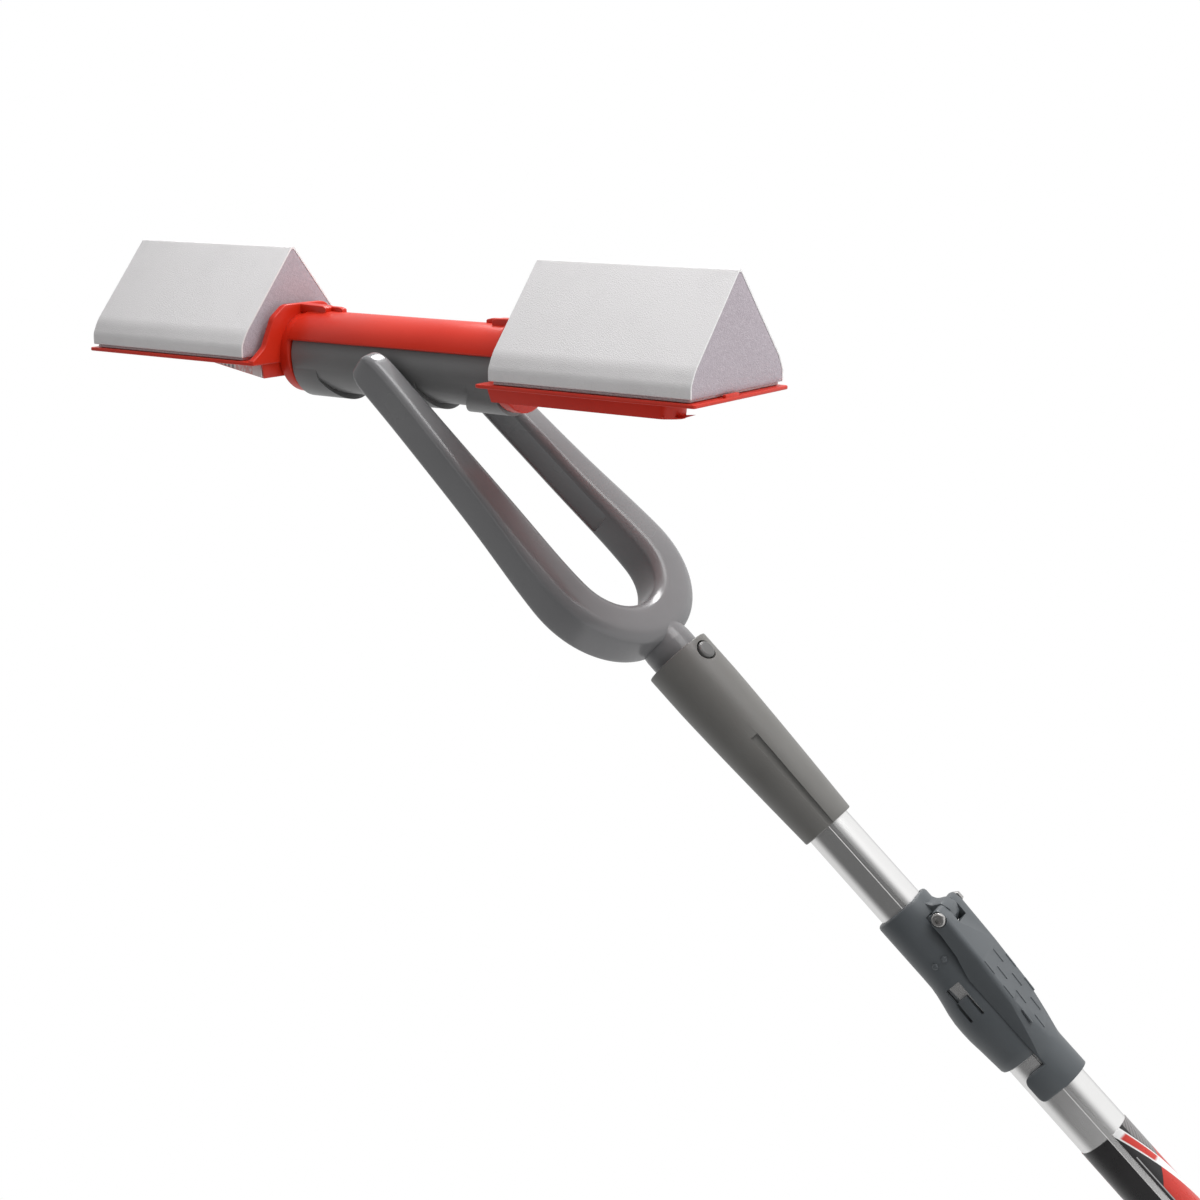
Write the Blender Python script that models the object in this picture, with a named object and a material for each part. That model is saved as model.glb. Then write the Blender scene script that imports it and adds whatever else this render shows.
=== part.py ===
"""Inside-corner pole sander: two prism sanding blocks on a universal joint at the end of a telescopic pole.

Frame: metres, +Z runs up the pole from the middle of the butt end. The pivot pin lies along X.
The head frame has its own axes: x along the barrel, y along the depth of the blocks, z to the ridges.
"""
import math

import bmesh
import bpy
from mathutils import Matrix, Vector

MM = 0.001
GAP = 0.3                    # clearance between touching pieces, mm
SIDES = 40                   # facets round a turned piece
MANY_HOLED = ("clamp_sleeve", "swivel_barrel", "head_frame")

# Rest pose of the universal joint, degrees.
HEAD_TILT = 45.75
HEAD_ROLL = -10.5
CLAMP_TURN = -78.0           # which way the clamp lever faces, round the pole

# Heights up the pole, mm.
PIVOT_Z = 917.0
NECK_Z = PIVOT_Z - 188.0
ADAPTER_TOP = NECK_Z - 4.0
ADAPTER_BOTTOM = ADAPTER_TOP - 105.0
CLAMP_TOP = ADAPTER_BOTTOM - 49.5
SLEEVE_BOTTOM = CLAMP_TOP - 85.0
HOOD_TOP = SLEEVE_BOTTOM - 2.0
HOOD_BOTTOM = CLAMP_TOP - 104.5
LABEL_TOP = CLAMP_TOP - 133.5
LABEL_BOTTOM = LABEL_TOP - 187.0
GRIP_TOP = 205.0
GRIP_BOTTOM = 20.3
OUTER_TUBE_TOP = CLAMP_TOP - 26.0
OUTER_TUBE_BOTTOM = 3.0
INNER_TUBE_TOP = ADAPTER_TOP - 54.3
INNER_TUBE_BOTTOM = 80.0

# Pole.
OUTER_R = 12.7
OUTER_WALL = 0.8
INNER_R = 11.1
INNER_WALL = 0.9
GRIP_R = 16.5
CAP_R = 16.5
LABEL_R = 13.2

# Adapter and fork.
ADAPTER_TOP_R = 16.7
ADAPTER_BOTTOM_R = 13.4
PLUG_R = 12.4
PLUG_BOTTOM = ADAPTER_TOP - 48.0
BEND_Z = PIVOT_Z - 139.5
BEND_R = 34.4                # centre line of the fork's bend
TIP_X = 27.0                 # centre line of a prong at the pivot pin
TIP_IN = 21.0                # inner face of a prong at the pivot pin
BUTTON_Z = PIVOT_Z - 199.5
BUTTON_R = 4.3
BUTTON_OUT = 17.6
PIN_R = 2.5
PIN_BLIND_END = 30.0         # how far the pivot pin reaches into the front prong

# Head: barrel, shell, plates.
BARREL_R = 18.7
BARREL_BORE = 14.3
BARREL_HALF = 62.6
BOSS_R = 3.6
SHELL_R = 20.7
SHELL_BORE = 19.0
SHELL_EDGE = 22.5            # how far above the horizontal the shell ends, degrees
DISC_IN = 63.0
DISC_OUT = 69.3
DISC_R = 19.8
WALL_OUT = 72.3
PLATE_IN = 69.0
PLATE_OUT = 186.0
PLATE_DEPTH = 78.0
PLATE_TOP = -2.0
PLATE_THICK = 1.8
TRAY_BOTTOM = -11.0

# Sanding blocks.
BLOCK_IN = 76.5
BLOCK_OUT = 183.4
BLOCK_BASE = -0.3
RIDGE_Z = 50.7
BLOCK_HALF = 38.2
SHEET = 0.9

# Clamp, in its own axes: x to the lever, z up the pole.
SLEEVE_R = 14.0
PIN_X = 17.0
PIN_Z = CLAMP_TOP - 13.5
CHEEK_IN = 5.1
CHEEK_OUT = 12.8


def clear_scene():
    for item in list(bpy.data.objects):
        bpy.data.objects.remove(item, do_unlink=True)


def material(name, color, roughness, metallic=0.0):
    made = bpy.data.materials.new(name)
    made.use_nodes = True
    shader = made.node_tree.nodes["Principled BSDF"]
    shader.inputs["Base Color"].default_value = (*color, 1.0)
    shader.inputs["Roughness"].default_value = roughness
    shader.inputs["Metallic"].default_value = metallic
    return made


def empty(name, place, turn, parent=None):
    item = bpy.data.objects.new(name, None)
    bpy.context.collection.objects.link(item)
    item.parent = parent
    item.location = [c * MM for c in place]
    item.rotation_euler = [math.radians(a) for a in turn]
    return item


def add(name, mesh, look, parent=None, smooth=True):
    """Link a millimetre mesh as a named object, scaled to metres."""
    bmesh.ops.recalc_face_normals(mesh, faces=mesh.faces)
    mesh.transform(Matrix.Scale(MM, 4))
    data = bpy.data.meshes.new(name)
    mesh.to_mesh(data)
    mesh.free()
    item = bpy.data.objects.new(name, data)
    bpy.context.collection.objects.link(item)
    item.parent = parent
    if look:
        data.materials.append(look)
    if smooth:
        data.shade_smooth()
        data.set_sharp_from_angle(angle=math.radians(35))
    return item


def boolean(item, mesh, operation):
    """Join or cut with a hidden helper made from a millimetre mesh.

    The exact solver leaves cracks in the flat rings of the many-holed pieces, so those use the other.
    """
    tool = add(item.name + "_tool", mesh, None, item.parent, smooth=False)
    tool.hide_render = True
    tool.display_type = "WIRE"
    step = item.modifiers.new(operation.title(), "BOOLEAN")
    step.object = tool
    step.operation = operation
    step.solver = "MANIFOLD" if item.name in MANY_HOLED else "EXACT"
    return item


def cut(item, mesh):
    return boolean(item, mesh, "DIFFERENCE")


def join(item, mesh):
    return boolean(item, mesh, "UNION")


def lathe(profile, sides=SIDES, axis="Z", at=(0.0, 0.0, 0.0)):
    """Turn a closed (radius, height) outline round an axis; points on the axis close the solid."""
    mesh = bmesh.new()
    rings = []
    for radius, height in profile:
        if radius < 1e-6:
            rings.append([mesh.verts.new((0.0, 0.0, height))])
        else:
            rings.append([mesh.verts.new((radius * math.cos(a), radius * math.sin(a), height))
                          for a in (2 * math.pi * i / sides for i in range(sides))])
    for first, second in zip(rings, rings[1:] + rings[:1]):
        if len(first) == 1 and len(second) == 1:
            continue
        for i in range(sides):
            j = (i + 1) % sides
            corners = [first[i % len(first)], first[j % len(first)],
                       second[j % len(second)], second[i % len(second)]]
            mesh.faces.new(list(dict.fromkeys(corners)))
    turn = {"Z": Matrix.Identity(4), "X": Matrix.Rotation(math.pi / 2, 4, "Y"),
            "Y": Matrix.Rotation(-math.pi / 2, 4, "X")}[axis]
    mesh.transform(Matrix.Translation(Vector(at)) @ turn)
    return mesh


def rod(radius, start, end, axis="Z", at=(0.0, 0.0, 0.0), sides=SIDES):
    return lathe([(0.0, start), (radius, start), (radius, end), (0.0, end)], sides, axis, at)


def pipe(bore, radius, start, end, axis="Z", sides=SIDES):
    return lathe([(bore, start), (radius, start), (radius, end), (bore, end)], sides, axis)


def prism(outline, start, end, axis="X"):
    """Extrude a closed outline: (y, z) along X, (x, z) along Y or (x, y) along Z."""
    place = {"X": lambda a, b, c: (c, a, b), "Y": lambda a, b, c: (a, c, b),
             "Z": lambda a, b, c: (a, b, c)}[axis]
    mesh = bmesh.new()
    near = [mesh.verts.new(place(a, b, start)) for a, b in outline]
    far = [mesh.verts.new(place(a, b, end)) for a, b in outline]
    mesh.faces.new(near)
    mesh.faces.new(list(reversed(far)))
    for i in range(len(outline)):
        j = (i + 1) % len(outline)
        mesh.faces.new((near[i], near[j], far[j], far[i]))
    return mesh


def block(low, high):
    return prism([(low[0], low[1]), (high[0], low[1]), (high[0], high[1]), (low[0], high[1])],
                 low[2], high[2], "Z")


def loft(rings):
    """Skin a row of equal rings and cap both ends."""
    mesh = bmesh.new()
    rows = [[mesh.verts.new(point) for point in ring] for ring in rings]
    for first, second in zip(rows, rows[1:]):
        for i in range(len(first)):
            j = (i + 1) % len(first)
            mesh.faces.new((first[i], first[j], second[j], second[i]))
    mesh.faces.new(rows[0])
    mesh.faces.new(list(reversed(rows[-1])))
    return mesh


def arc(radius, start, end, count, centre=(0.0, 0.0)):
    return [(centre[0] + radius * math.cos(math.radians(a)), centre[1] + radius * math.sin(math.radians(a)))
            for a in (start + (end - start) * i / count for i in range(count + 1))]


def mirrored(points):
    """Complete a half outline given at +a with its mirror at -a."""
    return points + [(-a, b) for a, b in reversed(points) if abs(a) > 1e-6]


# ---- pole -------------------------------------------------------------------------------

def make_end_cap(look):
    profile = [(0.0, 0.0), (CAP_R - 2.5, 0.0), (CAP_R, 2.5), (CAP_R, GRIP_BOTTOM - GAP),
               (OUTER_R + GAP, GRIP_BOTTOM - GAP), (OUTER_R + GAP, OUTER_TUBE_BOTTOM - GAP),
               (OUTER_R - OUTER_WALL - GAP, OUTER_TUBE_BOTTOM - GAP), (OUTER_R - OUTER_WALL - GAP, 24.0),
               (0.0, 24.0)]
    add("end_cap", lathe(profile), look)


def make_hand_grip(look):
    profile = [(OUTER_R + GAP, GRIP_BOTTOM), (GRIP_R, GRIP_BOTTOM), (GRIP_R, GRIP_TOP - 3.0),
               (GRIP_R - 2.0, GRIP_TOP), (OUTER_R + GAP, GRIP_TOP)]
    add("hand_grip", lathe(profile), look)


def make_tubes(look):
    add("outer_tube", pipe(OUTER_R - OUTER_WALL, OUTER_R, OUTER_TUBE_BOTTOM, OUTER_TUBE_TOP), look)
    add("inner_tube", pipe(INNER_R - INNER_WALL, INNER_R, INNER_TUBE_BOTTOM, INNER_TUBE_TOP), look)


def make_pole_label(look):
    add("pole_label", pipe(OUTER_R + GAP, LABEL_R + 0.1, LABEL_BOTTOM, LABEL_TOP), look)


def make_inner_end_bush(look):
    bore = INNER_R - INNER_WALL - GAP
    low, high = INNER_TUBE_BOTTOM - 4.0, INNER_TUBE_BOTTOM + 12.0
    profile = [(bore - 2.0, low), (OUTER_R - OUTER_WALL - GAP, low),
               (OUTER_R - OUTER_WALL - GAP, INNER_TUBE_BOTTOM - GAP),
               (bore, INNER_TUBE_BOTTOM - GAP), (bore, high), (bore - 2.0, high)]
    add("inner_end_bush", lathe(profile), look)


# ---- clamp ------------------------------------------------------------------------------

def sleeve_ring(z, belly, radius, sides=SIDES):
    """Outer ring of the sleeve: the side away from the lever swells by the belly."""
    centre = -belly / 2
    return [(centre + (radius + belly / 2) * math.cos(a), (radius + belly / 2) * math.sin(a), z)
            for a in (2 * math.pi * i / sides for i in range(sides))]


def make_clamp_sleeve(look, clamp):
    shape = [(0.0, 0.0, SLEEVE_R - 1.4), (1.6, 0.0, SLEEVE_R), (36.0, 0.0, SLEEVE_R), (46.0, 1.7, SLEEVE_R),
             (56.0, 3.5, SLEEVE_R), (64.0, 3.5, SLEEVE_R), (75.0, 2.3, SLEEVE_R), (84.0, 1.6, SLEEVE_R),
             (85.0, 1.0, SLEEVE_R)]
    body = add("clamp_sleeve", loft([sleeve_ring(CLAMP_TOP - down, belly, r) for down, belly, r in shape]),
               look, clamp)
    lug = hinge_lug()
    join(body, lug)
    cut(body, rod(INNER_R + GAP, CLAMP_TOP - 90.0, CLAMP_TOP + 5.0))
    cut(body, rod(12.65, CLAMP_TOP - 22.6, CLAMP_TOP - 4.4))
    cut(body, rod(OUTER_R + GAP, SLEEVE_BOTTOM - 5.0, OUTER_TUBE_TOP + GAP))
    cut(body, rod(1.9, -8.0, 8.0, "Y", (PIN_X, 0.0, PIN_Z), 16))
    for side in (-1, 1):
        near, far = sorted((side * 5.0, side * 8.8))
        cut(body, block((6.0, near, PIN_Z - 3.9), (20.0, far, PIN_Z + 3.9)))
        low, high = sorted((side * 10.0, side * 20.0))
        cut(body, prism(window_outline(CLAMP_TOP - 43.5), low, high, "Y"))


def window_outline(z):
    """Window with a slot running down from each lower corner, leaving a snap tongue between them."""
    return [(-4.2, z + 3.5), (4.2, z + 3.5), (4.2, z - 14.0), (2.6, z - 14.0), (2.6, z - 3.5),
            (-2.6, z - 3.5), (-2.6, z - 14.0), (-4.2, z - 14.0)]


def hinge_lug():
    """Hinge lug between the lever's cheeks."""
    outline = [(12.9, PIN_Z - 9.0), (PIN_X + 1.0, PIN_Z - 3.8)]
    outline += arc(3.9, -60, 120, 8, (PIN_X, PIN_Z))
    outline += [(12.9, PIN_Z + 8.0)]
    return prism(outline, -(CHEEK_IN - GAP), CHEEK_IN - GAP, "Y")


def make_brake_shoe(look, clamp):
    wrap = 55
    outline = arc(12.35, -wrap, wrap, 12) + arc(INNER_R + 0.25, wrap, -wrap, 12)
    shoe = add("brake_shoe", prism(outline, PIN_Z - 8.0, PIN_Z + 8.0, "Z"), look, clamp)
    for side in (-1, 1):
        near, far = sorted((side * 5.8, side * 8.4))
        join(shoe, block((8.6, near, PIN_Z - 3.5), (12.4, far, PIN_Z + 3.5)))
    cut(shoe, rod(INNER_R + 0.25, PIN_Z - 10.0, PIN_Z + 10.0))


def lever_outline():
    """Side view of the lever, (x, z): hinge boss, back, inner edge of the side walls."""
    top = PIN_Z
    outline = arc(4.3, 65, 190, 8, (PIN_X, top))
    outline += [(PIN_X - 4.2, top - 6.0), (11.4, CLAMP_TOP - 30.0), (8.3, CLAMP_TOP - 42.0),
                (8.3, CLAMP_TOP - 78.0), (8.3, HOOD_BOTTOM), (15.7, HOOD_BOTTOM), (15.7, CLAMP_TOP - 82.0), (17.6, CLAMP_TOP - 62.0),
                (19.4, CLAMP_TOP - 38.0), (20.4, CLAMP_TOP - 18.0), (20.2, CLAMP_TOP - 10.5)]
    return outline


def make_clamp_lever(look, clamp):
    lever = add("clamp_lever", prism(lever_outline(), -CHEEK_OUT, CHEEK_OUT, "Y"), look, clamp)
    hood = arc(15.7, -90, 90, 18) + [(-4.2, 15.7), (-4.2, -15.7)]
    join(lever, prism(hood, HOOD_BOTTOM, HOOD_TOP - 1.0, "Z"))
    envelope = [(0.0, HOOD_BOTTOM - 1.0), (15.72, HOOD_BOTTOM - 1.0), (15.72, CLAMP_TOP - 88.0),
                (16.2, CLAMP_TOP - 84.0), (18.3, CLAMP_TOP - 75.0), (21.0, CLAMP_TOP - 60.0),
                (26.0, CLAMP_TOP), (26.0, CLAMP_TOP + 10.0), (0.0, CLAMP_TOP + 10.0)]
    boolean(lever, lathe(envelope), "INTERSECT")
    hollow = [(5.0, PIN_Z - 6.5), (PIN_X, PIN_Z - 6.5), (17.2, CLAMP_TOP - 38.0), (15.4, CLAMP_TOP - 62.0),
              (14.9, CLAMP_TOP - 68.0), (5.0, CLAMP_TOP - 68.0)]
    cut(lever, prism(hollow, -10.4, 10.4, "Y"))
    cut(lever, rod(SLEEVE_R + 0.7, HOOD_TOP, CLAMP_TOP + 10.0, "Z"))
    cut(lever, prism(arc(OUTER_R + 0.4, -90, 90, 18) + [(-8.0, OUTER_R + 0.4), (-8.0, -OUTER_R - 0.4)],
                     HOOD_BOTTOM - 5.0, HOOD_TOP + 5.0, "Z"))
    cut(lever, block((0.0, -CHEEK_IN, PIN_Z - 7.0), (30.0, CHEEK_IN, PIN_Z + 20.0)))
    cut(lever, rod(1.9, -20.0, 20.0, "Y", (PIN_X, 0.0, PIN_Z), 16))


def make_lever_pin(look, clamp):
    """Shouldered pin with a round head and a hexagon socket on one side, a nut on the other."""
    pin = add("lever_pin", rod(1.55, -CHEEK_OUT - 1.0, CHEEK_OUT + 2.2, "Y", (PIN_X, 0.0, PIN_Z), 16),
              look, clamp)
    join(pin, rod(3.1, -CHEEK_OUT - 2.2, -CHEEK_OUT - GAP, "Y", (PIN_X, 0.0, PIN_Z), 24))
    cut(pin, rod(1.4, -CHEEK_OUT - 4.0, -CHEEK_OUT - 1.0, "Y", (PIN_X, 0.0, PIN_Z), 6))
    nut = lathe([(1.85, CHEEK_OUT + GAP), (3.2, CHEEK_OUT + GAP), (3.2, CHEEK_OUT + 2.5),
                 (1.85, CHEEK_OUT + 2.5)], 6, "Y", (PIN_X, 0.0, PIN_Z))
    add("pin_nut", nut, look, clamp, smooth=False)


# ---- adapter and fork -------------------------------------------------------------------

def make_adapter(look):
    top, low = ADAPTER_TOP, ADAPTER_BOTTOM
    stop = top - 50.0
    profile = [(PLUG_R + GAP, top), (ADAPTER_TOP_R - 0.8, top), (ADAPTER_TOP_R, top - 0.8),
               (ADAPTER_TOP_R - 0.2, top - 30.0), (ADAPTER_BOTTOM_R, low), (INNER_R + GAP, low),
               (INNER_R + GAP, stop - 4.0), (INNER_R - 1.0, stop - 4.0), (INNER_R - 1.0, stop),
               (PLUG_R + GAP, stop)]
    adapter = add("adapter", lathe(profile), look)
    cut(adapter, rod(BUTTON_R + 0.5, -20.0, -10.0, "Y", (0.0, 0.0, BUTTON_Z), 24))
    slot = prism([(12.4, low - 2.0), (20.0, low - 2.0), (20.0, top - 52.0), (15.1, top - 52.0)],
                 -1.3, 1.3, "Y")
    slot.transform(Matrix.Rotation(math.radians(-131.0), 4, "Z"))
    cut(adapter, slot)


def fork_section(centre, normal, half_thick, half_width, corner=0.62, count=20):
    """Rounded rectangle across the prong: thickness along the normal in X-Z, width along Y."""
    ring = []
    for i in range(count):
        a = 2 * math.pi * i / count
        c, s = math.cos(a), math.sin(a)
        u = math.copysign(abs(c) ** corner, c) * half_thick
        v = math.copysign(abs(s) ** corner, s) * half_width
        ring.append((centre[0] + normal[0] * u, v, centre[1] + normal[1] * u))
    return ring


def fork_path():
    """Stations down the front prong and round half the bend: x, z, normal, half sizes."""
    stations = []
    straight = [(10.0, TIP_X - 0.4, 5.0, 4.6), (8.0, TIP_X, 6.0, 7.0), (4.5, TIP_X, 6.0, 9.0),
                (0.0, TIP_X, 6.0, 9.8), (-30.0, 28.0, 6.8, 9.8), (-85.0, 30.7, 8.6, 9.8),
                (-118.0, 33.6, 10.4, 10.4)]
    for up, x, half_thick, half_width in straight:
        stations.append((x, PIVOT_Z + up, (1.0, 0.0), half_thick, half_width))
    for i in range(8):
        a = math.radians(90.0 * i / 7)
        normal = (math.cos(a), -math.sin(a))
        stations.append((BEND_R * normal[0], BEND_Z + BEND_R * normal[1], normal, 11.2 + 0.6 * i / 7, 11.2))
    return stations


def make_fork(look):
    half = [fork_section((x, z), n, t, w) for x, z, n, t, w in fork_path()]
    other = [fork_section((-x, z), (-n[0], n[1]), t, w) for x, z, n, t, w in fork_path()[:-1]]
    fork = add("fork", loft(half + list(reversed(other))), look)
    neck = [(0.0, PLUG_BOTTOM), (PLUG_R - 1.0, PLUG_BOTTOM), (PLUG_R, PLUG_BOTTOM + 1.5), (PLUG_R, NECK_Z),
            (12.9, NECK_Z + 5.0), (12.0, NECK_Z + 12.0), (0.0, NECK_Z + 13.0)]
    join(fork, lathe(neck))
    cut(fork, rod(BUTTON_R + GAP, -20.0, 4.0, "Y", (0.0, 0.0, BUTTON_Z), 24))
    cut(fork, rod(PIN_R + GAP, -PIN_BLIND_END - GAP, 60.0, "X", (0.0, 0.0, PIVOT_Z), 24))


def make_lock_button(look):
    profile = [(0.0, -BUTTON_OUT), (BUTTON_R - 0.6, -BUTTON_OUT), (BUTTON_R, -BUTTON_OUT + 0.7),
               (BUTTON_R, -8.5), (0.0, -8.5)]
    add("lock_button", lathe(profile, 24, "Y", (0.0, 0.0, BUTTON_Z)), look)


def make_button_spring(look):
    """Coil spring behind the button, swept as a helix."""
    coils, wire, radius, steps = 6, 0.35, 3.2, 12
    start, end = 3.6 - wire, -8.2 + wire
    rings = []
    for i in range(coils * steps + 1):
        a = 2 * math.pi * i / steps
        y = start + (end - start) * i / (coils * steps)
        out = Vector((math.cos(a), 0.0, math.sin(a)))
        centre = out * radius + Vector((0.0, y, BUTTON_Z))
        rings.append([centre + out * wire * math.cos(b) + Vector((0.0, wire * math.sin(b), 0.0))
                      for b in (2 * math.pi * k / 6 for k in range(6))])
    add("button_spring", loft(rings), look)


def make_cross_pin(steel, cap_look):
    """Pivot pin, blind in the front prong, and the cap over its rear end."""
    reach = TIP_X + 6.1
    add("cross_pin", rod(PIN_R, -PIN_BLIND_END, reach, "X", (0.0, 0.0, PIVOT_Z), 24), steel)
    profile = [(0.0, reach + GAP), (4.6, reach + GAP), (4.6, reach + 0.9), (3.6, reach + 1.7),
               (0.0, reach + 1.7)]
    add("pin_cap_rear", lathe(profile, 24, "X", (0.0, 0.0, PIVOT_Z)), cap_look)


# ---- head -------------------------------------------------------------------------------

def saddle(inner_mid, outer_mid, inner_low, outer_low):
    """Collar that stands out only under the barrel; x limits at mid height and at the bottom."""
    mesh = rod(BARREL_R - 0.1, inner_low, outer_low, "X", (0.0, 0.0, -3.2))
    for vert in mesh.verts:
        share = min(max((-8.0 - vert.co.z) / 13.0, 0.0), 1.0)
        near, far = abs(vert.co.x - inner_low) < 1e-4, abs(vert.co.x - outer_low) < 1e-4
        if near:
            vert.co.x = inner_mid + (inner_low - inner_mid) * share
        elif far:
            vert.co.x = outer_mid + (outer_low - outer_mid) * share
    return mesh


def make_swivel_barrel(look, barrel):
    body = add("swivel_barrel", rod(BARREL_R, -BARREL_HALF, BARREL_HALF, "X"), look, barrel)
    join(body, saddle(-15.5, 15.5, -22.5, 22.5))
    join(body, saddle(47.0, BARREL_HALF - 0.2, 37.5, BARREL_HALF - 0.1))
    join(body, saddle(-BARREL_HALF + 0.2, -47.0, -BARREL_HALF + 0.1, -37.5))
    join(body, rod(BOSS_R, -TIP_IN + GAP, TIP_IN - GAP, "Y", sides=24))
    cut(body, rod(BARREL_BORE, -BARREL_HALF - 5.0, BARREL_HALF + 5.0, "X"))
    cut(body, rod(PIN_R + GAP, -40.0, 40.0, "Y", sides=24))


def make_barrel_bushes(look, head):
    for name, side in (("barrel_bush_left", -1), ("barrel_bush_right", 1)):
        near, far = sorted((side * 56.0, side * (DISC_IN - GAP)))
        add(name, pipe(12.3, BARREL_BORE - 0.3, near, far, "X"), look, head)


def tray_outline(side):
    """Plan of the stiffening tray: one edge straight, the other tapering to the outer end."""
    outline = [(PLATE_IN + 2.0, -31.0), (164.0, -31.0), (169.5, -28.5), (171.5, -24.0), (170.5, -20.0),
               (165.0, -16.0), (PLATE_IN + 2.0, 31.0)]
    return [(side * x, side * y) for x, y in outline]


def wall_outline(side):
    """End wall: one edge flares out to the corner of the plate, the other keeps close to the disc."""
    flared = [(38.0, PLATE_TOP - 0.4), (35.0, 0.6), (30.5, 3.5), (27.2, 8.0), (25.2, 13.5), (22.6, 18.5),
              (18.5, 22.2), (13.0, 24.2), (5.0, 24.8)]
    close = [(24.0, PLATE_TOP - 0.4), (23.2, 8.0), (22.0, 13.5), (20.0, 18.5), (17.0, 22.0), (12.5, 24.0),
             (5.0, 24.8)]
    return [(side * y, z) for y, z in flared] + [(-side * y, z) for y, z in reversed(close)]


def make_head_frame(look, head):
    """Plates, end walls, discs and the upper shell are one moulding."""
    shell = arc(SHELL_R, SHELL_EDGE, 180 - SHELL_EDGE, 20) + arc(SHELL_BORE, 180 - SHELL_EDGE, SHELL_EDGE, 20)
    frame = add("head_frame", prism(shell, -DISC_IN - 0.5, DISC_IN + 0.5, "X"), look, head)
    bottom = PLATE_TOP - PLATE_THICK
    for side in (-1, 1):
        near, far = sorted((side * DISC_IN, side * DISC_OUT))
        join(frame, rod(DISC_R, near, far, "X"))
        near, far = sorted((side * 55.8, side * (DISC_IN + 1.0)))
        join(frame, rod(12.0, near, far, "X"))
        near, far = sorted((side * (DISC_OUT - 0.4), side * WALL_OUT))
        join(frame, prism(wall_outline(side), near, far, "X"))
        near, far = sorted((side * PLATE_IN, side * PLATE_OUT))
        half = PLATE_DEPTH / 2
        join(frame, block((near, -half, bottom), (far, half, PLATE_TOP)))
        join(frame, prism(tray_outline(side), TRAY_BOTTOM, bottom + 0.5, "Z"))
        near, far = sorted((side * 46.0, side * (DISC_OUT + 0.5)))
        join(frame, block((near, -4.0, SHELL_R - 1.0), (far, 4.0, SHELL_R + 2.6)))
    return frame


def block_profile(shrink):
    """Front half of a sanding block's end view, from base to ridge, drawn in by the shrink."""
    half = [(BLOCK_HALF, BLOCK_BASE), (BLOCK_HALF, BLOCK_BASE + 4.0), (BLOCK_HALF - 0.8, BLOCK_BASE + 7.5),
            (BLOCK_HALF - 3.0, BLOCK_BASE + 11.5), (2.4, RIDGE_Z - 1.6), (0.9, RIDGE_Z - 0.3)]
    slope = math.atan2(RIDGE_Z - BLOCK_BASE - 13.0, BLOCK_HALF - 5.4)
    drop = shrink / math.cos(slope)
    drawn = []
    for i, (y, z) in enumerate(half):
        if i < 2:
            drawn.append((y - shrink, z))
        else:
            drawn.append((max(y - shrink * (1.0 if i == 2 else 0.75 if i == 3 else 0.3), 0.3),
                          z - drop * (0.15 if i == 2 else 0.5 if i == 3 else 0.95)))
    return drawn


def make_block(name, side, looks, head):
    near, far = sorted((side * BLOCK_IN, side * BLOCK_OUT))
    outer, inner = block_profile(0.0), block_profile(SHEET)
    band = outer + [(-y, z) for y, z in reversed(outer)] + [(-y, z) for y, z in inner] + list(reversed(inner))
    add(name + "_abrasive", prism(band, near, far, "X"), looks["abrasive"], head)
    core = block_profile(SHEET + GAP)
    add(name + "_foam_wedge", prism(mirrored(core), near + 0.4, far - 0.4, "X"), looks["foam"], head)
    pad = block((near + 1.5, -BLOCK_HALF + 1.5, PLATE_TOP + GAP), (far - 1.5, BLOCK_HALF - 1.5,
                                                                  BLOCK_BASE - GAP))
    add(name + "_hook_pad", pad, looks["hook"], head)


def make_plate_label(look, head):
    """Sticker on the long tapering side of the left tray."""
    outer_end, foot = (Vector(point) for point in tray_outline(-1)[-2:])
    along = (outer_end - foot).normalized()
    out = Vector((-along.y, along.x))
    near, far = foot + along * 2.0, foot + along * 76.0
    corners = [near + out * GAP, far + out * GAP, far + out * (GAP + 0.4), near + out * (GAP + 0.4)]
    mesh = prism([(c.x, c.y) for c in corners], TRAY_BOTTOM + 0.5, PLATE_TOP - PLATE_THICK - 0.6, "Z")
    add("plate_label", mesh, look, head)


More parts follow.
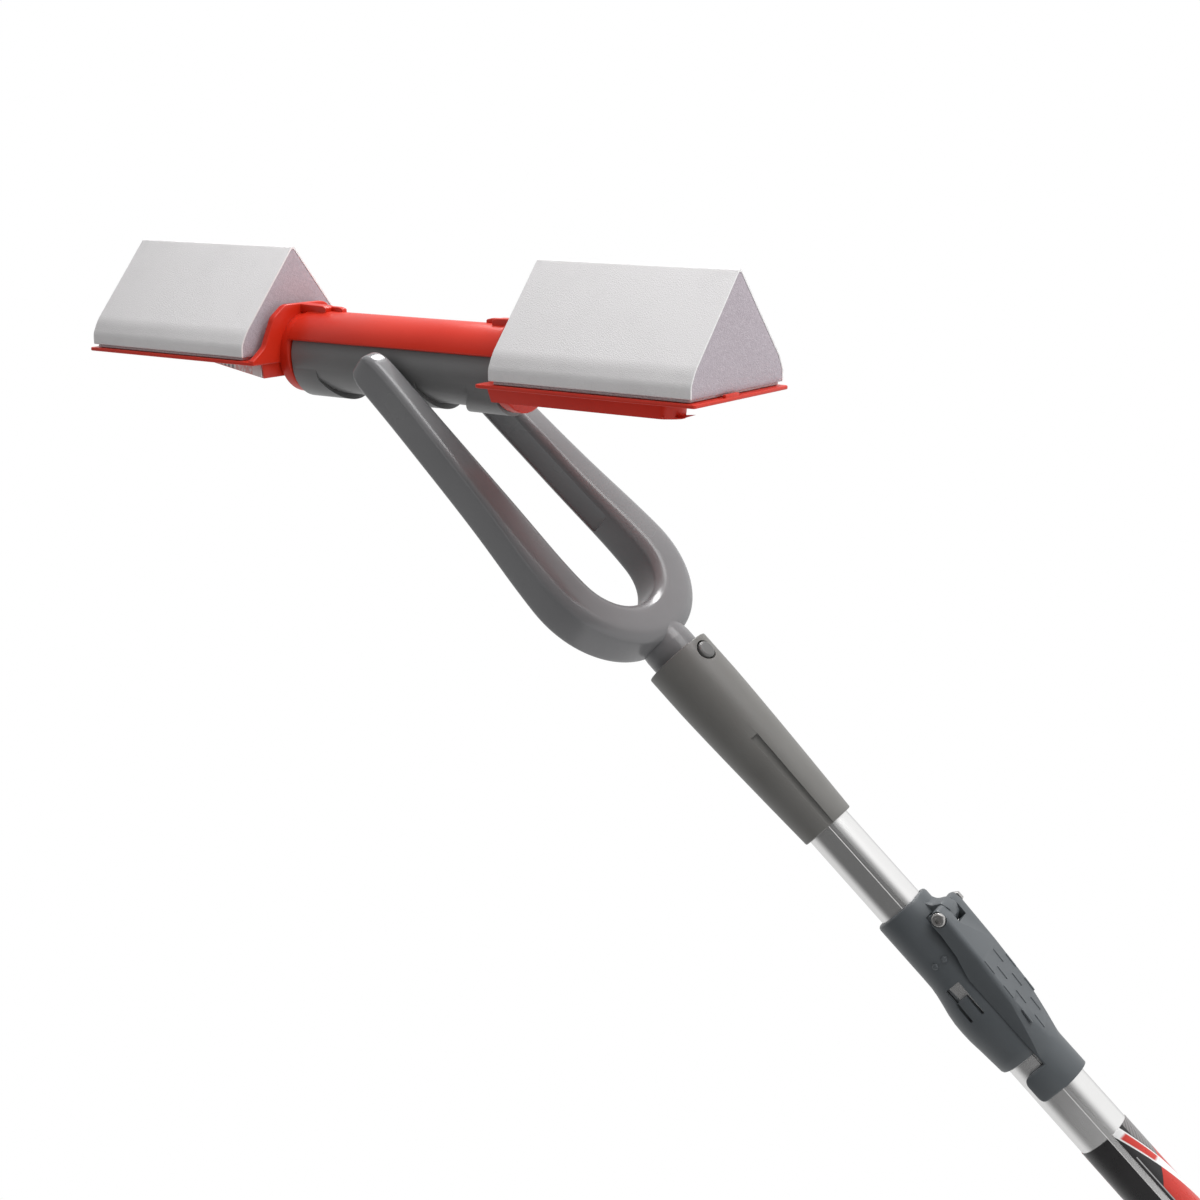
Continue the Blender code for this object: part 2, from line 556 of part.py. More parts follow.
def main():
    clear_scene()
    looks = {
        "red": material("red_plastic", (0.68, 0.045, 0.02), 0.35),
        "grey": material("grey_plastic", (0.15, 0.15, 0.15), 0.45),
        "dark": material("dark_plastic", (0.09, 0.10, 0.105), 0.45),
        "aluminium": material("aluminium", (0.80, 0.80, 0.79), 0.28, 1.0),
        "steel": material("steel", (0.55, 0.55, 0.55), 0.3, 1.0),
        "rubber": material("grip_rubber", (0.03, 0.03, 0.03), 0.8),
        "abrasive": material("abrasive", (0.56, 0.55, 0.54), 0.9),
        "foam": material("foam", (0.38, 0.34, 0.38), 0.95),
        "hook": material("hook_pad", (0.75, 0.75, 0.75), 0.9),
        "label": material("label_print", (0.03, 0.03, 0.03), 0.3),
        "nylon": material("nylon", (0.70, 0.69, 0.65), 0.5),
    }
    clamp = empty("clamp_axes", (0.0, 0.0, 0.0), (0.0, 0.0, CLAMP_TURN))
    barrel = empty("tilt_axis", (0.0, 0.0, PIVOT_Z), (0.0, HEAD_TILT, -90.0))
    head = empty("roll_axis", (0.0, 0.0, 0.0), (HEAD_ROLL, 0.0, 0.0), barrel)

    make_end_cap(looks["dark"])
    make_hand_grip(looks["rubber"])
    make_tubes(looks["aluminium"])
    make_pole_label(looks["label"])
    make_inner_end_bush(looks["nylon"])
    make_clamp_sleeve(looks["dark"], clamp)
    make_brake_shoe(looks["dark"], clamp)
    make_clamp_lever(looks["dark"], clamp)
    make_lever_pin(looks["steel"], clamp)
    make_adapter(looks["grey"])
    make_fork(looks["grey"])
    make_lock_button(looks["dark"])
    make_button_spring(looks["steel"])
    make_cross_pin(looks["steel"], looks["grey"])
    make_swivel_barrel(looks["grey"], barrel)
    make_barrel_bushes(looks["nylon"], head)
    make_head_frame(looks["red"], head)
    for name, side in (("left", -1), ("right", 1)):
        make_block(name, side, looks, head)
    make_plate_label(looks["label"], head)


main()
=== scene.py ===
"""Looks of the inside-corner pole sander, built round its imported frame.

Sizes are millimetres until a helper turns them into metres. +Z runs up the pole from its butt end.
Clamp pieces are shaped in the clamp's axes, with x to the lever. Head pieces are shaped in the head's axes:
x along the barrel, y along the depth of the blocks and z to their ridges. Both are then turned into place.
"""
import math

import bmesh
import bpy
from mathutils import Matrix, Vector


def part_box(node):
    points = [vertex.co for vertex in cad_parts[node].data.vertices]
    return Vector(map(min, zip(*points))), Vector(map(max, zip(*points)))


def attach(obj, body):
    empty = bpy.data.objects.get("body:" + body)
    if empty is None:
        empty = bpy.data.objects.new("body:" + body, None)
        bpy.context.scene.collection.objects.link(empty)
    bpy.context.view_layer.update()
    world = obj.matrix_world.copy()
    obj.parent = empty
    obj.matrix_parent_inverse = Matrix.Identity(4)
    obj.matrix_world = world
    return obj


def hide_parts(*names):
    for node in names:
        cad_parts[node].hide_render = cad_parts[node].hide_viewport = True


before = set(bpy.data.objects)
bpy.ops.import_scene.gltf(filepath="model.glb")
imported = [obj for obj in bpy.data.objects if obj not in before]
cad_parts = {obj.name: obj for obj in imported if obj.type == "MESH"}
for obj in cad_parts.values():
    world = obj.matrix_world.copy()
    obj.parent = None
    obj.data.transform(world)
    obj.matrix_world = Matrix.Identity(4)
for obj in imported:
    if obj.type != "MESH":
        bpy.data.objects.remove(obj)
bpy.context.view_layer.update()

MM = 0.001
ROUND = 96                   # facets round a turned piece

# Where the head and the clamp stand at rest.
PIVOT_Z = 917.0
PIN_BORE_R = 2.8
HEAD = (Matrix.Translation((0.0, 0.0, PIVOT_Z * MM)) @ Matrix.Rotation(math.radians(-90.0), 4, "Z")
        @ Matrix.Rotation(math.radians(45.75), 4, "Y") @ Matrix.Rotation(math.radians(-10.5), 4, "X"))
BARREL = (Matrix.Translation((0.0, 0.0, PIVOT_Z * MM)) @ Matrix.Rotation(math.radians(-90.0), 4, "Z")
          @ Matrix.Rotation(math.radians(45.75), 4, "Y"))
CLAMP = Matrix.Rotation(math.radians(-78.0), 4, "Z")


def height_of(node, end):
    """Lowest (0) or highest (1) point of a frame node, in millimetres."""
    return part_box(node)[end].z / MM


ADAPTER_TOP = height_of("adapter", 1)
ADAPTER_LOW = height_of("adapter", 0)
CLAMP_TOP = height_of("clamp_sleeve", 1)
SLEEVE_LOW = height_of("clamp_sleeve", 0)
HOOD_LOW = height_of("clamp_lever", 0)
HOOD_TOP = SLEEVE_LOW - 3.0
LABEL_TOP = height_of("pole_label", 1)
LABEL_LOW = height_of("pole_label", 0)
GRIP_TOP = height_of("hand_grip", 1)
GRIP_LOW = height_of("hand_grip", 0)
OUTER_TUBE = (height_of("outer_tube", 0), height_of("outer_tube", 1))
INNER_TUBE = (height_of("inner_tube", 0), height_of("inner_tube", 1))

OUTER_R = 12.7
INNER_R = 11.1
GROOVE_AT = -133.0           # azimuth of the groove that runs along both tubes, degrees


# ---- working by hand, in code ------------------------------------------------------------

def only(piece):
    bpy.ops.object.select_all(action="DESELECT")
    piece.select_set(True)
    bpy.context.view_layer.objects.active = piece


def edit(piece, kind="VERT"):
    only(piece)
    bpy.ops.object.mode_set(mode="EDIT")
    bpy.ops.mesh.select_mode(type=kind)
    bpy.ops.mesh.select_all(action="DESELECT")


def done():
    bpy.ops.object.mode_set(mode="OBJECT")


def pick(piece, test, kind="FACE"):
    """In edit mode, select what passes the test on its middle in millimetres and its normal or direction."""
    bpy.ops.mesh.select_mode(type=kind)
    bpy.ops.mesh.select_all(action="DESELECT")
    mesh = bmesh.from_edit_mesh(piece.data)
    if kind == "FACE":
        for face in mesh.faces:
            face.select_set(bool(test(face.calc_center_median() / MM, face.normal)))
    elif kind == "EDGE":
        for edge in mesh.edges:
            start, end = (v.co for v in edge.verts)
            edge.select_set(bool(test((start + end) / 2 / MM, (end - start).normalized())))
    else:
        for vert in mesh.verts:
            vert.select_set(bool(test(vert.co / MM, vert.normal)))
    mesh.select_flush_mode()
    bmesh.update_edit_mesh(piece.data)


def outline(*corners, steps=6, closed=True):
    """Corners (a, b) or (a, b, radius), with each radius turned into an arc."""
    count = len(corners)
    flat = [Vector(corner[:2]) for corner in corners]
    result = []
    for i, here in enumerate(flat):
        radius = corners[i][2] if len(corners[i]) > 2 else 0.0
        if radius <= 0.0 or (not closed and i in (0, count - 1)):
            result.append(tuple(here))
            continue
        back, ahead = flat[i - 1] - here, flat[(i + 1) % count] - here
        half = back.angle(ahead) / 2
        if half > math.radians(89.5):
            result.append(tuple(here))
            continue
        reach = min(radius / math.tan(half), 0.49 * back.length, 0.49 * ahead.length)
        middle = here + (back.normalized() + ahead.normalized()).normalized() * reach / math.cos(half)
        first, last = here + back.normalized() * reach - middle, here + ahead.normalized() * reach - middle
        swing = first.angle(last)
        for k in range(steps + 1):
            t = k / steps
            point = (first * math.sin((1 - t) * swing) + last * math.sin(t * swing)) / math.sin(swing)
            result.append(tuple(middle + point))
    return result


def arc(radius, start, end, steps, centre=(0.0, 0.0)):
    """Points round a centre, angles in degrees."""
    angles = [math.radians(start + (end - start) * i / steps) for i in range(steps + 1)]
    return [(centre[0] + radius * math.cos(a), centre[1] + radius * math.sin(a)) for a in angles]


def extrude(step):
    """In edit mode, extrude what is selected by a step in millimetres."""
    bpy.ops.mesh.extrude_region_move(TRANSFORM_OT_translate={"value": Vector(step) * MM})


def resize(x, y, z, about):
    """In edit mode, scale what is selected about a point in millimetres."""
    bpy.ops.transform.resize(value=(x, y, z), center_override=Vector(about) * MM)


def draw(name, points):
    """A chain of edges through points in millimetres: a plane merged to one vertex, then extruded."""
    bpy.ops.object.select_all(action="DESELECT")
    bpy.ops.mesh.primitive_plane_add(size=MM)
    piece = bpy.context.object
    piece.name = piece.data.name = name
    bpy.ops.object.mode_set(mode="EDIT")
    bpy.ops.mesh.select_mode(type="VERT")
    bpy.ops.mesh.select_all(action="SELECT")
    bpy.ops.mesh.merge(type="CENTER")
    bpy.ops.mesh.select_all(action="SELECT")
    bpy.ops.transform.translate(value=Vector(points[0]) * MM)
    for start, end in zip(points, points[1:]):
        step = (Vector(end) - Vector(start)) * MM
        bpy.ops.mesh.extrude_vertices_move(TRANSFORM_OT_translate={"value": step})
    return piece


def closed_up():
    """Merge doubles and point every face outwards, in edit mode, then leave it."""
    bpy.ops.mesh.select_all(action="SELECT")
    bpy.ops.mesh.remove_doubles(threshold=0.002 * MM)
    bpy.ops.mesh.normals_make_consistent(inside=False)
    done()


def turned(name, corners, axis="Z", at=(0.0, 0.0, 0.0), sides=ROUND, steps=5):
    """Spin a closed (radius, height) outline round an axis."""
    place = {"Z": lambda r, h: (r, 0.0, h), "X": lambda r, h: (h, r, 0.0),
             "Y": lambda r, h: (0.0, h, r)}[axis]
    points = [Vector(place(r, h)) + Vector(at) for r, h in outline(*corners, steps=steps)]
    piece = draw(name, points + points[:1])
    bpy.ops.mesh.select_all(action="SELECT")
    direction = {"Z": (0, 0, 1), "X": (1, 0, 0), "Y": (0, 1, 0)}[axis]
    bpy.ops.mesh.spin(steps=sides, angle=2 * math.pi, center=Vector(at) * MM, axis=direction)
    closed_up()
    return piece


def extruded(name, points, low, high, along="X"):
    """Fill a closed outline and extrude it: (y, z) along X, (x, z) along Y or (x, y) along Z."""
    place = {"X": lambda a, b, c: (c, a, b), "Y": lambda a, b, c: (a, c, b),
             "Z": lambda a, b, c: (a, b, c)}[along]
    piece = draw(name, [place(a, b, low) for a, b in points])
    bpy.ops.mesh.select_all(action="SELECT")
    bpy.ops.mesh.edge_face_add()
    extrude(Vector(place(0.0, 0.0, high)) - Vector(place(0.0, 0.0, low)))
    closed_up()
    return piece


def rod(name, radius, low, high, axis="Z", at=(0.0, 0.0, 0.0), sides=ROUND):
    return turned(name, [(0.0, low), (radius, low), (radius, high), (0.0, high)], axis, at, sides)


def block(name, low, high):
    corners = [(low[0], low[1]), (high[0], low[1]), (high[0], high[1]), (low[0], high[1])]
    return extruded(name, corners, low[2], high[2], "Z")


def modify(piece, kind, **settings):
    """Add a modifier with these settings and apply it."""
    step = piece.modifiers.new(kind.title(), kind)
    for key, value in settings.items():
        setattr(step, key, value)
    only(piece)
    bpy.ops.object.modifier_apply(modifier=step.name)
    return piece


def combine(piece, tool, how, solver="EXACT"):
    modify(piece, "BOOLEAN", object=tool, operation=how, solver=solver)
    bpy.data.objects.remove(tool, do_unlink=True)
    return piece


def cut(piece, tool):
    return combine(piece, tool, "DIFFERENCE")


def join(piece, tool, solver="EXACT"):
    return combine(piece, tool, "UNION", solver)


def soften(piece, width, segments=3, angle=30.0):
    return modify(piece, "BEVEL", width=width * MM, segments=segments, limit_method="ANGLE",
                  angle_limit=math.radians(angle), use_clamp_overlap=True)


def turn_round(piece, degrees, axis):
    """Turn a tool about the world's axis before it is used."""
    piece.matrix_world = Matrix.Rotation(math.radians(degrees), 4, axis)
    only(piece)
    bpy.ops.object.transform_apply(location=True, rotation=True, scale=True)
    return piece


def settle(piece, look, body, nodes, place=None, crease=32.0):
    """Put a finished piece in its place, with its shading, material and body, and hide the frame nodes it
    replaces.
    """
    if place is not None:
        piece.matrix_world = place
    only(piece)
    bpy.ops.object.transform_apply(location=True, rotation=True, scale=True)
    bpy.ops.object.shade_smooth_by_angle(angle=math.radians(crease))
    if look is not None:
        piece.data.materials.clear()
        piece.data.materials.append(look)
    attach(piece, body)
    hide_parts(*nodes)
    return piece


# ---- finishes ------------------------------------------------------------------------------

def node(tree, kind, inputs=None, **settings):
    made = tree.nodes.new(kind)
    for key, value in settings.items():
        setattr(made, key, value)
    for key, value in (inputs or {}).items():
        if isinstance(value, bpy.types.NodeSocket):
            tree.links.new(value, made.inputs[key])
        else:
            made.inputs[key].default_value = value
    return made


def math_node(tree, operation, *values):
    return node(tree, "ShaderNodeMath", dict(enumerate(values)), operation=operation).outputs[0]


def times(tree, first, second):
    return math_node(tree, "MULTIPLY", first, second)


def plus(tree, first, second):
    return math_node(tree, "ADD", first, second)


def noise(tree, where, scale, detail=2.0, roughness=0.5):
    """Cloudy value with this many features to the metre."""
    return node(tree, "ShaderNodeTexNoise", {"Vector": where, "Scale": scale, "Detail": detail,
                                             "Roughness": roughness}).outputs["Fac"]


def cells(tree, where, scale, randomness=1.0):
    """Distance from the middle of the nearest cell, with this many cells to the metre."""
    return node(tree, "ShaderNodeTexVoronoi", {"Vector": where, "Scale": scale,
                                               "Randomness": randomness}).outputs["Distance"]


def ramp(tree, value, low, high, start=0.0, end=1.0):
    """Map low..high smoothly to start..end."""
    made = node(tree, "ShaderNodeMapRange", {"Value": value, "From Min": low, "From Max": high,
                                             "To Min": start, "To Max": end})
    made.interpolation_type = "SMOOTHSTEP"
    return made.outputs["Result"]


def mix(tree, share, first, second):
    made = tree.nodes.new("ShaderNodeMix")
    made.data_type = "RGBA"
    for socket, value in ((made.inputs[0], share), (made.inputs[6], first), (made.inputs[7], second)):
        if isinstance(value, bpy.types.NodeSocket):
            tree.links.new(value, socket)
        elif socket == made.inputs[0]:
            socket.default_value = value
        else:
            socket.default_value = (*value, 1.0)
    return made.outputs[2]


def group(name, inputs, outputs):
    """An empty node group with float or vector inputs and float outputs."""
    tree = bpy.data.node_groups.new(name, "ShaderNodeTree")
    for label, default in inputs:
        kind = "NodeSocketVector" if default is None else "NodeSocketFloat"
        socket = tree.interface.new_socket(label, in_out="INPUT", socket_type=kind)
        if default is not None:
            socket.default_value = default
    for label in outputs:
        tree.interface.new_socket(label, in_out="OUTPUT", socket_type="NodeSocketFloat")
    return tree, tree.nodes.new("NodeGroupInput"), tree.nodes.new("NodeGroupOutput")


def moulding_group():
    """Fine spark-eroded grain and slow tone drift of moulded plastic."""
    tree, given, out = group("moulded_skin", [("Vector", None), ("Grain size", 0.0004), ("Drift size", 0.03)],
                             ["Height", "Drift"])
    where = given.outputs["Vector"]
    fine = math_node(tree, "DIVIDE", 1.0, given.outputs["Grain size"])
    slow = math_node(tree, "DIVIDE", 1.0, given.outputs["Drift size"])
    tree.links.new(noise(tree, where, fine, 2.0, 0.6), out.inputs["Height"])
    tree.links.new(noise(tree, where, slow, 3.0), out.inputs["Drift"])
    return tree


def scuff_group():
    """Faint scratches and rubbed patches from handling."""
    tree, given, out = group("handling_scuffs", [("Vector", None), ("Patch size", 0.02)],
                             ["Scratches", "Patches"])
    where = given.outputs["Vector"]
    bent = node(tree, "ShaderNodeTexNoise", {"Vector": where, "Scale": 40.0, "Detail": 2.0})
    moved = node(tree, "ShaderNodeVectorMath", {0: bent.outputs["Color"], 3: 0.012}, operation="SCALE")
    place = node(tree, "ShaderNodeVectorMath", {0: where, 1: moved.outputs[0]}, operation="ADD")
    net = node(tree, "ShaderNodeTexVoronoi", {"Vector": place.outputs[0], "Scale": 130.0},
               feature="DISTANCE_TO_EDGE")
    line = ramp(tree, net.outputs["Distance"], 0.0, 0.018, 1.0, 0.0)
    size = math_node(tree, "DIVIDE", 1.0, given.outputs["Patch size"])
    rubbed = ramp(tree, noise(tree, where, size, 4.0), 0.52, 0.70)
    tree.links.new(times(tree, line, rubbed), out.inputs["Scratches"])
    tree.links.new(rubbed, out.inputs["Patches"])
    return tree


MOULDED = moulding_group()
SCUFFS = scuff_group()


def material(name, metallic=0.0, **constants):
    """A new material, its node tree, its shader and the object's own coordinates."""
    made = bpy.data.materials.new(name)
    made.use_nodes = True
    tree = made.node_tree
    shader = tree.nodes["Principled BSDF"]
    shader.inputs["Metallic"].default_value = metallic
    for key, value in constants.items():
        shader.inputs[key.replace("_", " ").title().replace("Ior", "IOR")].default_value = value
    where = tree.nodes.new("ShaderNodeTexCoord").outputs["Object"]
    return made, tree, shader, where


def finish(tree, shader, color, rough, height=None, strength=0.0, distance=0.0):
    """Link the colour, the roughness and, where there is one, the relief to the shader."""
    tree.links.new(color, shader.inputs["Base Color"])
    tree.links.new(rough, shader.inputs["Roughness"])
    if height is not None:
        made = node(tree, "ShaderNodeBump", {"Height": height, "Strength": strength, "Distance": distance})
        tree.links.new(made.outputs["Normal"], shader.inputs["Normal"])


def use(tree, which, where, **values):
    made = tree.nodes.new("ShaderNodeGroup")
    made.node_tree = which
    tree.links.new(where, made.inputs["Vector"])
    for key, value in values.items():
        made.inputs[key.replace("_", " ")].default_value = value
    return made


def plastic(name, color, light, roughness, grain=0.0005, relief=0.00003, wear=0.03, shine=0.5):
    """Moulded plastic: drifting tone, fine grain, rubbed patches a little smoother and lighter."""
    made, tree, shader, where = material(name, specular_ior_level=shine)
    skin = use(tree, MOULDED, where, Grain_size=grain, Drift_size=0.035)
    scuffs = use(tree, SCUFFS, where, Patch_size=0.022)
    drift = skin.outputs["Drift"]
    tone = mix(tree, ramp(tree, drift, 0.35, 0.65), color, light)
    pale = [min(1.0, c * 1.8 + 0.05) for c in color]
    rough = plus(tree, ramp(tree, drift, 0.3, 0.7, roughness - 0.03, roughness + 0.04),
                 times(tree, scuffs.outputs["Patches"], -0.03))
    finish(tree, shader, mix(tree, times(tree, scuffs.outputs["Scratches"], wear), tone, pale), rough,
           skin.outputs["Height"], 0.35, relief)
    return made


def drawn_metal(name, color, dark, roughness, along=(1.0, 1.0, 0.02)):
    """Drawn metal: fine lines along the piece, soft cloudy oxide."""
    made, tree, shader, where = material(name, metallic=1.0)
    stretched = node(tree, "ShaderNodeMapping", {"Vector": where, "Scale": along})
    lines = noise(tree, stretched.outputs[0], 2600.0, 3.0, 0.7)
    cloud = noise(tree, where, 35.0, 4.0)
    tone = mix(tree, times(tree, ramp(tree, cloud, 0.35, 0.75), 0.15), color, dark)
    rough = plus(tree, ramp(tree, lines, 0.3, 0.7, roughness - 0.015, roughness + 0.015),
                 ramp(tree, cloud, 0.4, 0.7, 0.0, 0.02))
    finish(tree, shader, tone, rough)
    return made


def rubber(name, color):
    made, tree, shader, where = material(name)
    skin = use(tree, MOULDED, where, Grain_size=0.0012, Drift_size=0.02)
    drift = skin.outputs["Drift"]
    finish(tree, shader, mix(tree, ramp(tree, drift, 0.35, 0.7), color, [c * 1.7 for c in color]),
           ramp(tree, drift, 0.3, 0.7, 0.62, 0.82), skin.outputs["Height"], 0.8, 0.00015)
    return made


def grit(name, color, dark):
    """Abrasive cloth: dense fine grains over a faint weave, dusty in places."""
    made, tree, shader, where = material(name)
    speck = noise(tree, where, 900.0, 3.0, 0.7)
    dust = noise(tree, where, 38.0, 5.0, 0.6)
    share = plus(tree, times(tree, ramp(tree, speck, 0.55, 0.75), 0.35),
                 times(tree, ramp(tree, dust, 0.45, 0.75), 0.30))
    finish(tree, shader, mix(tree, share, color, dark), ramp(tree, speck, 0.3, 0.7, 0.78, 0.95),
           cells(tree, where, 2400.0), 0.55, 0.00018)
    return made


def sponge(name, color, dark, pale):
    """Open-cell foam cut with a blade: small pores, pale cell walls."""
    made, tree, shader, where = material(name)
    pores = cells(tree, where, 1500.0)
    cloud = noise(tree, where, 640.0, 4.0, 0.65)
    base = mix(tree, ramp(tree, cloud, 0.38, 0.66), color, pale)
    finish(tree, shader, mix(tree, ramp(tree, pores, 0.35, 0.05, 0.0, 0.55), base, dark),
           ramp(tree, cloud, 0.3, 0.7, 0.86, 0.98), pores, 0.5, 0.00025)
    return made


def fabric_pile(name, color, dark):
    """Short hook-and-loop pile."""
    made, tree, shader, where = material(name)
    loops = cells(tree, where, 1300.0, 0.8)
    finish(tree, shader, mix(tree, ramp(tree, loops, 0.1, 0.6), dark, color),
           ramp(tree, loops, 0.0, 0.6, 0.8, 0.95), loops, 0.8, 0.0003)
    return made


def pole_print(name):
    """Printed wrap: black field, grey panel, one slanting white and red flash, red lower field."""
    made, tree, shader, where = material(name, coat_weight=0.25, coat_roughness=0.2)
    black, grey, white, red = (0.008, 0.007, 0.008), (0.22, 0.21, 0.21), (0.8, 0.8, 0.8), (0.56, 0.022, 0.01)
    apart = node(tree, "ShaderNodeSeparateXYZ", {"Vector": where})
    around = math_node(tree, "ARCTAN2", apart.outputs["Y"], apart.outputs["X"])
    turn = plus(tree, around, 2 * math.pi - math.radians(GROOVE_AT))
    arc_mm = times(tree, math_node(tree, "MODULO", turn, 2 * math.pi), OUTER_R)
    down_mm = times(tree, math_node(tree, "SUBTRACT", LABEL_TOP * MM, apart.outputs["Z"]), 1 / MM)
    slant = math_node(tree, "SUBTRACT", arc_mm, times(tree, down_mm, 0.34))
    all_round = 60.0         # further round than the wrap goes, mm
    label_foot = 150.0       # where the fields end, mm below the top of the wrap

    def band(value, low, high, soft=0.12):
        rise = ramp(tree, value, low - soft, low + soft)
        return times(tree, rise, ramp(tree, value, high - soft, high + soft, 1.0, 0.0))

    def both(first, second):
        return times(tree, first, second)

    wave = math_node(tree, "SINE", times(tree, plus(tree, arc_mm, down_mm), 2.6))
    hatch = times(tree, plus(tree, wave, 1.0), 0.28)
    side = both(band(slant, 6.4, all_round), band(arc_mm, 8.5, all_round))
    tone = mix(tree, plus(tree, times(tree, side, 0.55), both(side, hatch)), black, grey)
    lower = both(band(plus(tree, down_mm, arc_mm), 34.0, label_foot), band(arc_mm, 3.2, all_round))
    tone = mix(tree, lower, tone, red)
    tone = mix(tree, band(slant, 1.0, 6.0), tone, white)
    flash = both(band(slant, 1.7, 5.3, 0.35), band(down_mm, 3.5, 21.0, 0.8))
    tone = mix(tree, flash, tone, red)
    line = both(band(arc_mm, 2.6, 3.1), band(down_mm, 14.0, label_foot))
    tone = mix(tree, times(tree, line, 0.5), tone, white)
    tone = mix(tree, band(down_mm, 160.0, 163.0), tone, white)
    film = noise(tree, where, 260.0, 3.0)
    finish(tree, shader, tone, ramp(tree, film, 0.3, 0.7, 0.26, 0.40), film, 0.12, 0.00005)
    return made


def sticker_print(name):
    """Small sticker: a grey striped panel, a pale pink panel and white ends."""
    made, tree, shader, where = material(name)
    white, grey, pink = (0.62, 0.61, 0.61), (0.12, 0.13, 0.13), (0.62, 0.30, 0.28)
    turn_back = HEAD.inverted()
    local = node(tree, "ShaderNodeMapping", {"Vector": where, "Location": turn_back.translation,
                                             "Rotation": turn_back.to_euler()})
    apart = node(tree, "ShaderNodeSeparateXYZ", {"Vector": local.outputs[0]})
    along = times(tree, apart.outputs["X"], -1 / MM)
    bars = math_node(tree, "GREATER_THAN", math_node(tree, "SINE", times(tree, along, 1.15)), -0.2)
    panel = ramp(tree, along, 108.0, 108.4)
    tone = mix(tree, times(tree, bars, panel), white, grey)
    fleck = noise(tree, where, 420.0)
    field = times(tree, ramp(tree, along, 82.0, 84.0), ramp(tree, along, 106.0, 108.0, 0.9, 0.0))
    blush = times(tree, ramp(tree, fleck, 0.40, 0.52), field)
    finish(tree, shader, mix(tree, blush, tone, pink), ramp(tree, fleck, 0.3, 0.7, 0.35, 0.5), fleck, 0.1,
           0.00004)
    return made


RED = plastic("red_moulding", (0.600, 0.024, 0.008), (0.630, 0.028, 0.010), 0.34, relief=0.000015, wear=0.0,
              shine=0.35)
FORK_GREY = plastic("fork_moulding", (0.190, 0.190, 0.195), (0.200, 0.200, 0.205), 0.24, relief=0.000005,
                    wear=0.0)
ADAPTER_GREY = plastic("adapter_moulding", (0.150, 0.147, 0.139), (0.164, 0.161, 0.153), 0.42, relief=0.00005)
BARREL_GREY = plastic("barrel_moulding", (0.165, 0.165, 0.166), (0.175, 0.175, 0.176), 0.38, relief=0.00003)
CLAMP_DARK = plastic("clamp_moulding", (0.080, 0.090, 0.098), (0.090, 0.100, 0.108), 0.38, relief=0.00003)
BUTTON_GREY = plastic("button_moulding", (0.125, 0.125, 0.123), (0.140, 0.140, 0.137), 0.38)
NYLON = plastic("turned_nylon", (0.62, 0.60, 0.55), (0.68, 0.66, 0.61), 0.45)
ALUMINIUM = drawn_metal("drawn_aluminium", (0.90, 0.895, 0.89), (0.80, 0.795, 0.79), 0.22)
STEEL = drawn_metal("bright_steel", (0.50, 0.49, 0.48), (0.36, 0.35, 0.35), 0.30, (1.0, 1.0, 1.0))
GRIP_RUBBER = rubber("grip_rubber", (0.020, 0.020, 0.021))
CAP_PLASTIC = plastic("end_cap_moulding", (0.028, 0.029, 0.030), (0.036, 0.037, 0.038), 0.48, relief=0.00008)
GRIT = grit("abrasive_cloth", (0.80, 0.785, 0.79), (0.70, 0.686, 0.692))
GRIT_EDGE = grit("cut_cloth_edge", (0.82, 0.81, 0.81), (0.72, 0.71, 0.71))
FOAM = sponge("cut_foam", (0.44, 0.39, 0.43), (0.33, 0.29, 0.32), (0.50, 0.45, 0.49))
PILE = fabric_pile("hook_pile", (0.72, 0.68, 0.69), (0.52, 0.49, 0.50))
WRAP = pole_print("pole_wrap_print")
STICKER = sticker_print("plate_sticker_print")


# ---- pole ---------------------------------------------------------------------------------

def grooved_tube(name, radius, wall, span, nodes, body):
    """Drawn tube with one shallow groove along it, which keeps the two tubes from turning."""
    wide, floor, depth = 6.2, 4.6, 0.5
    start = GROOVE_AT + wide
    points = arc(radius, start, start + 360.0 - 2 * wide, ROUND)
    points += arc(radius - depth, GROOVE_AT - floor, GROOVE_AT + floor, 4)
    piece = draw(name, [(x, y, span[0]) for x, y in points])
    bpy.ops.mesh.select_all(action="SELECT")
    bpy.ops.mesh.edge_face_add()
    bpy.ops.mesh.select_mode(type="FACE")
    bpy.ops.mesh.delete(type="ONLY_FACE")
    bpy.ops.mesh.select_mode(type="EDGE")
    bpy.ops.mesh.select_all(action="SELECT")
    bpy.ops.mesh.extrude_edges_move(TRANSFORM_OT_translate={"value": (0, 0, (span[1] - span[0]) * MM)})
    closed_up()
    edit(piece, "FACE")
    pick(piece, lambda at, normal: True)
    mesh = bmesh.from_edit_mesh(piece.data)
    side = next(face for face in mesh.faces)
    if side.normal.dot(Vector((*side.calc_center_median().xy, 0.0))) < 0.0:
        bpy.ops.mesh.flip_normals()
    done()
    modify(piece, "SOLIDIFY", thickness=wall * MM, offset=-1.0, use_rim=True)
    return settle(piece, ALUMINIUM, body, nodes, crease=25.0)


def make_wrap():
    """Printed wrap round the outer tube, with its two edges apart so that the groove stays bare."""
    bare, radius = 6.6, OUTER_R + 0.05
    points = arc(radius, GROOVE_AT + bare, GROOVE_AT + 360.0 - bare, ROUND)
    points += arc(radius + 0.22, GROOVE_AT + 360.0 - bare, GROOVE_AT + bare, ROUND)
    piece = extruded("pole_wrap", points, LABEL_LOW, LABEL_TOP, "Z")
    return settle(piece, WRAP, "handle", ["pole_label"], crease=25.0)


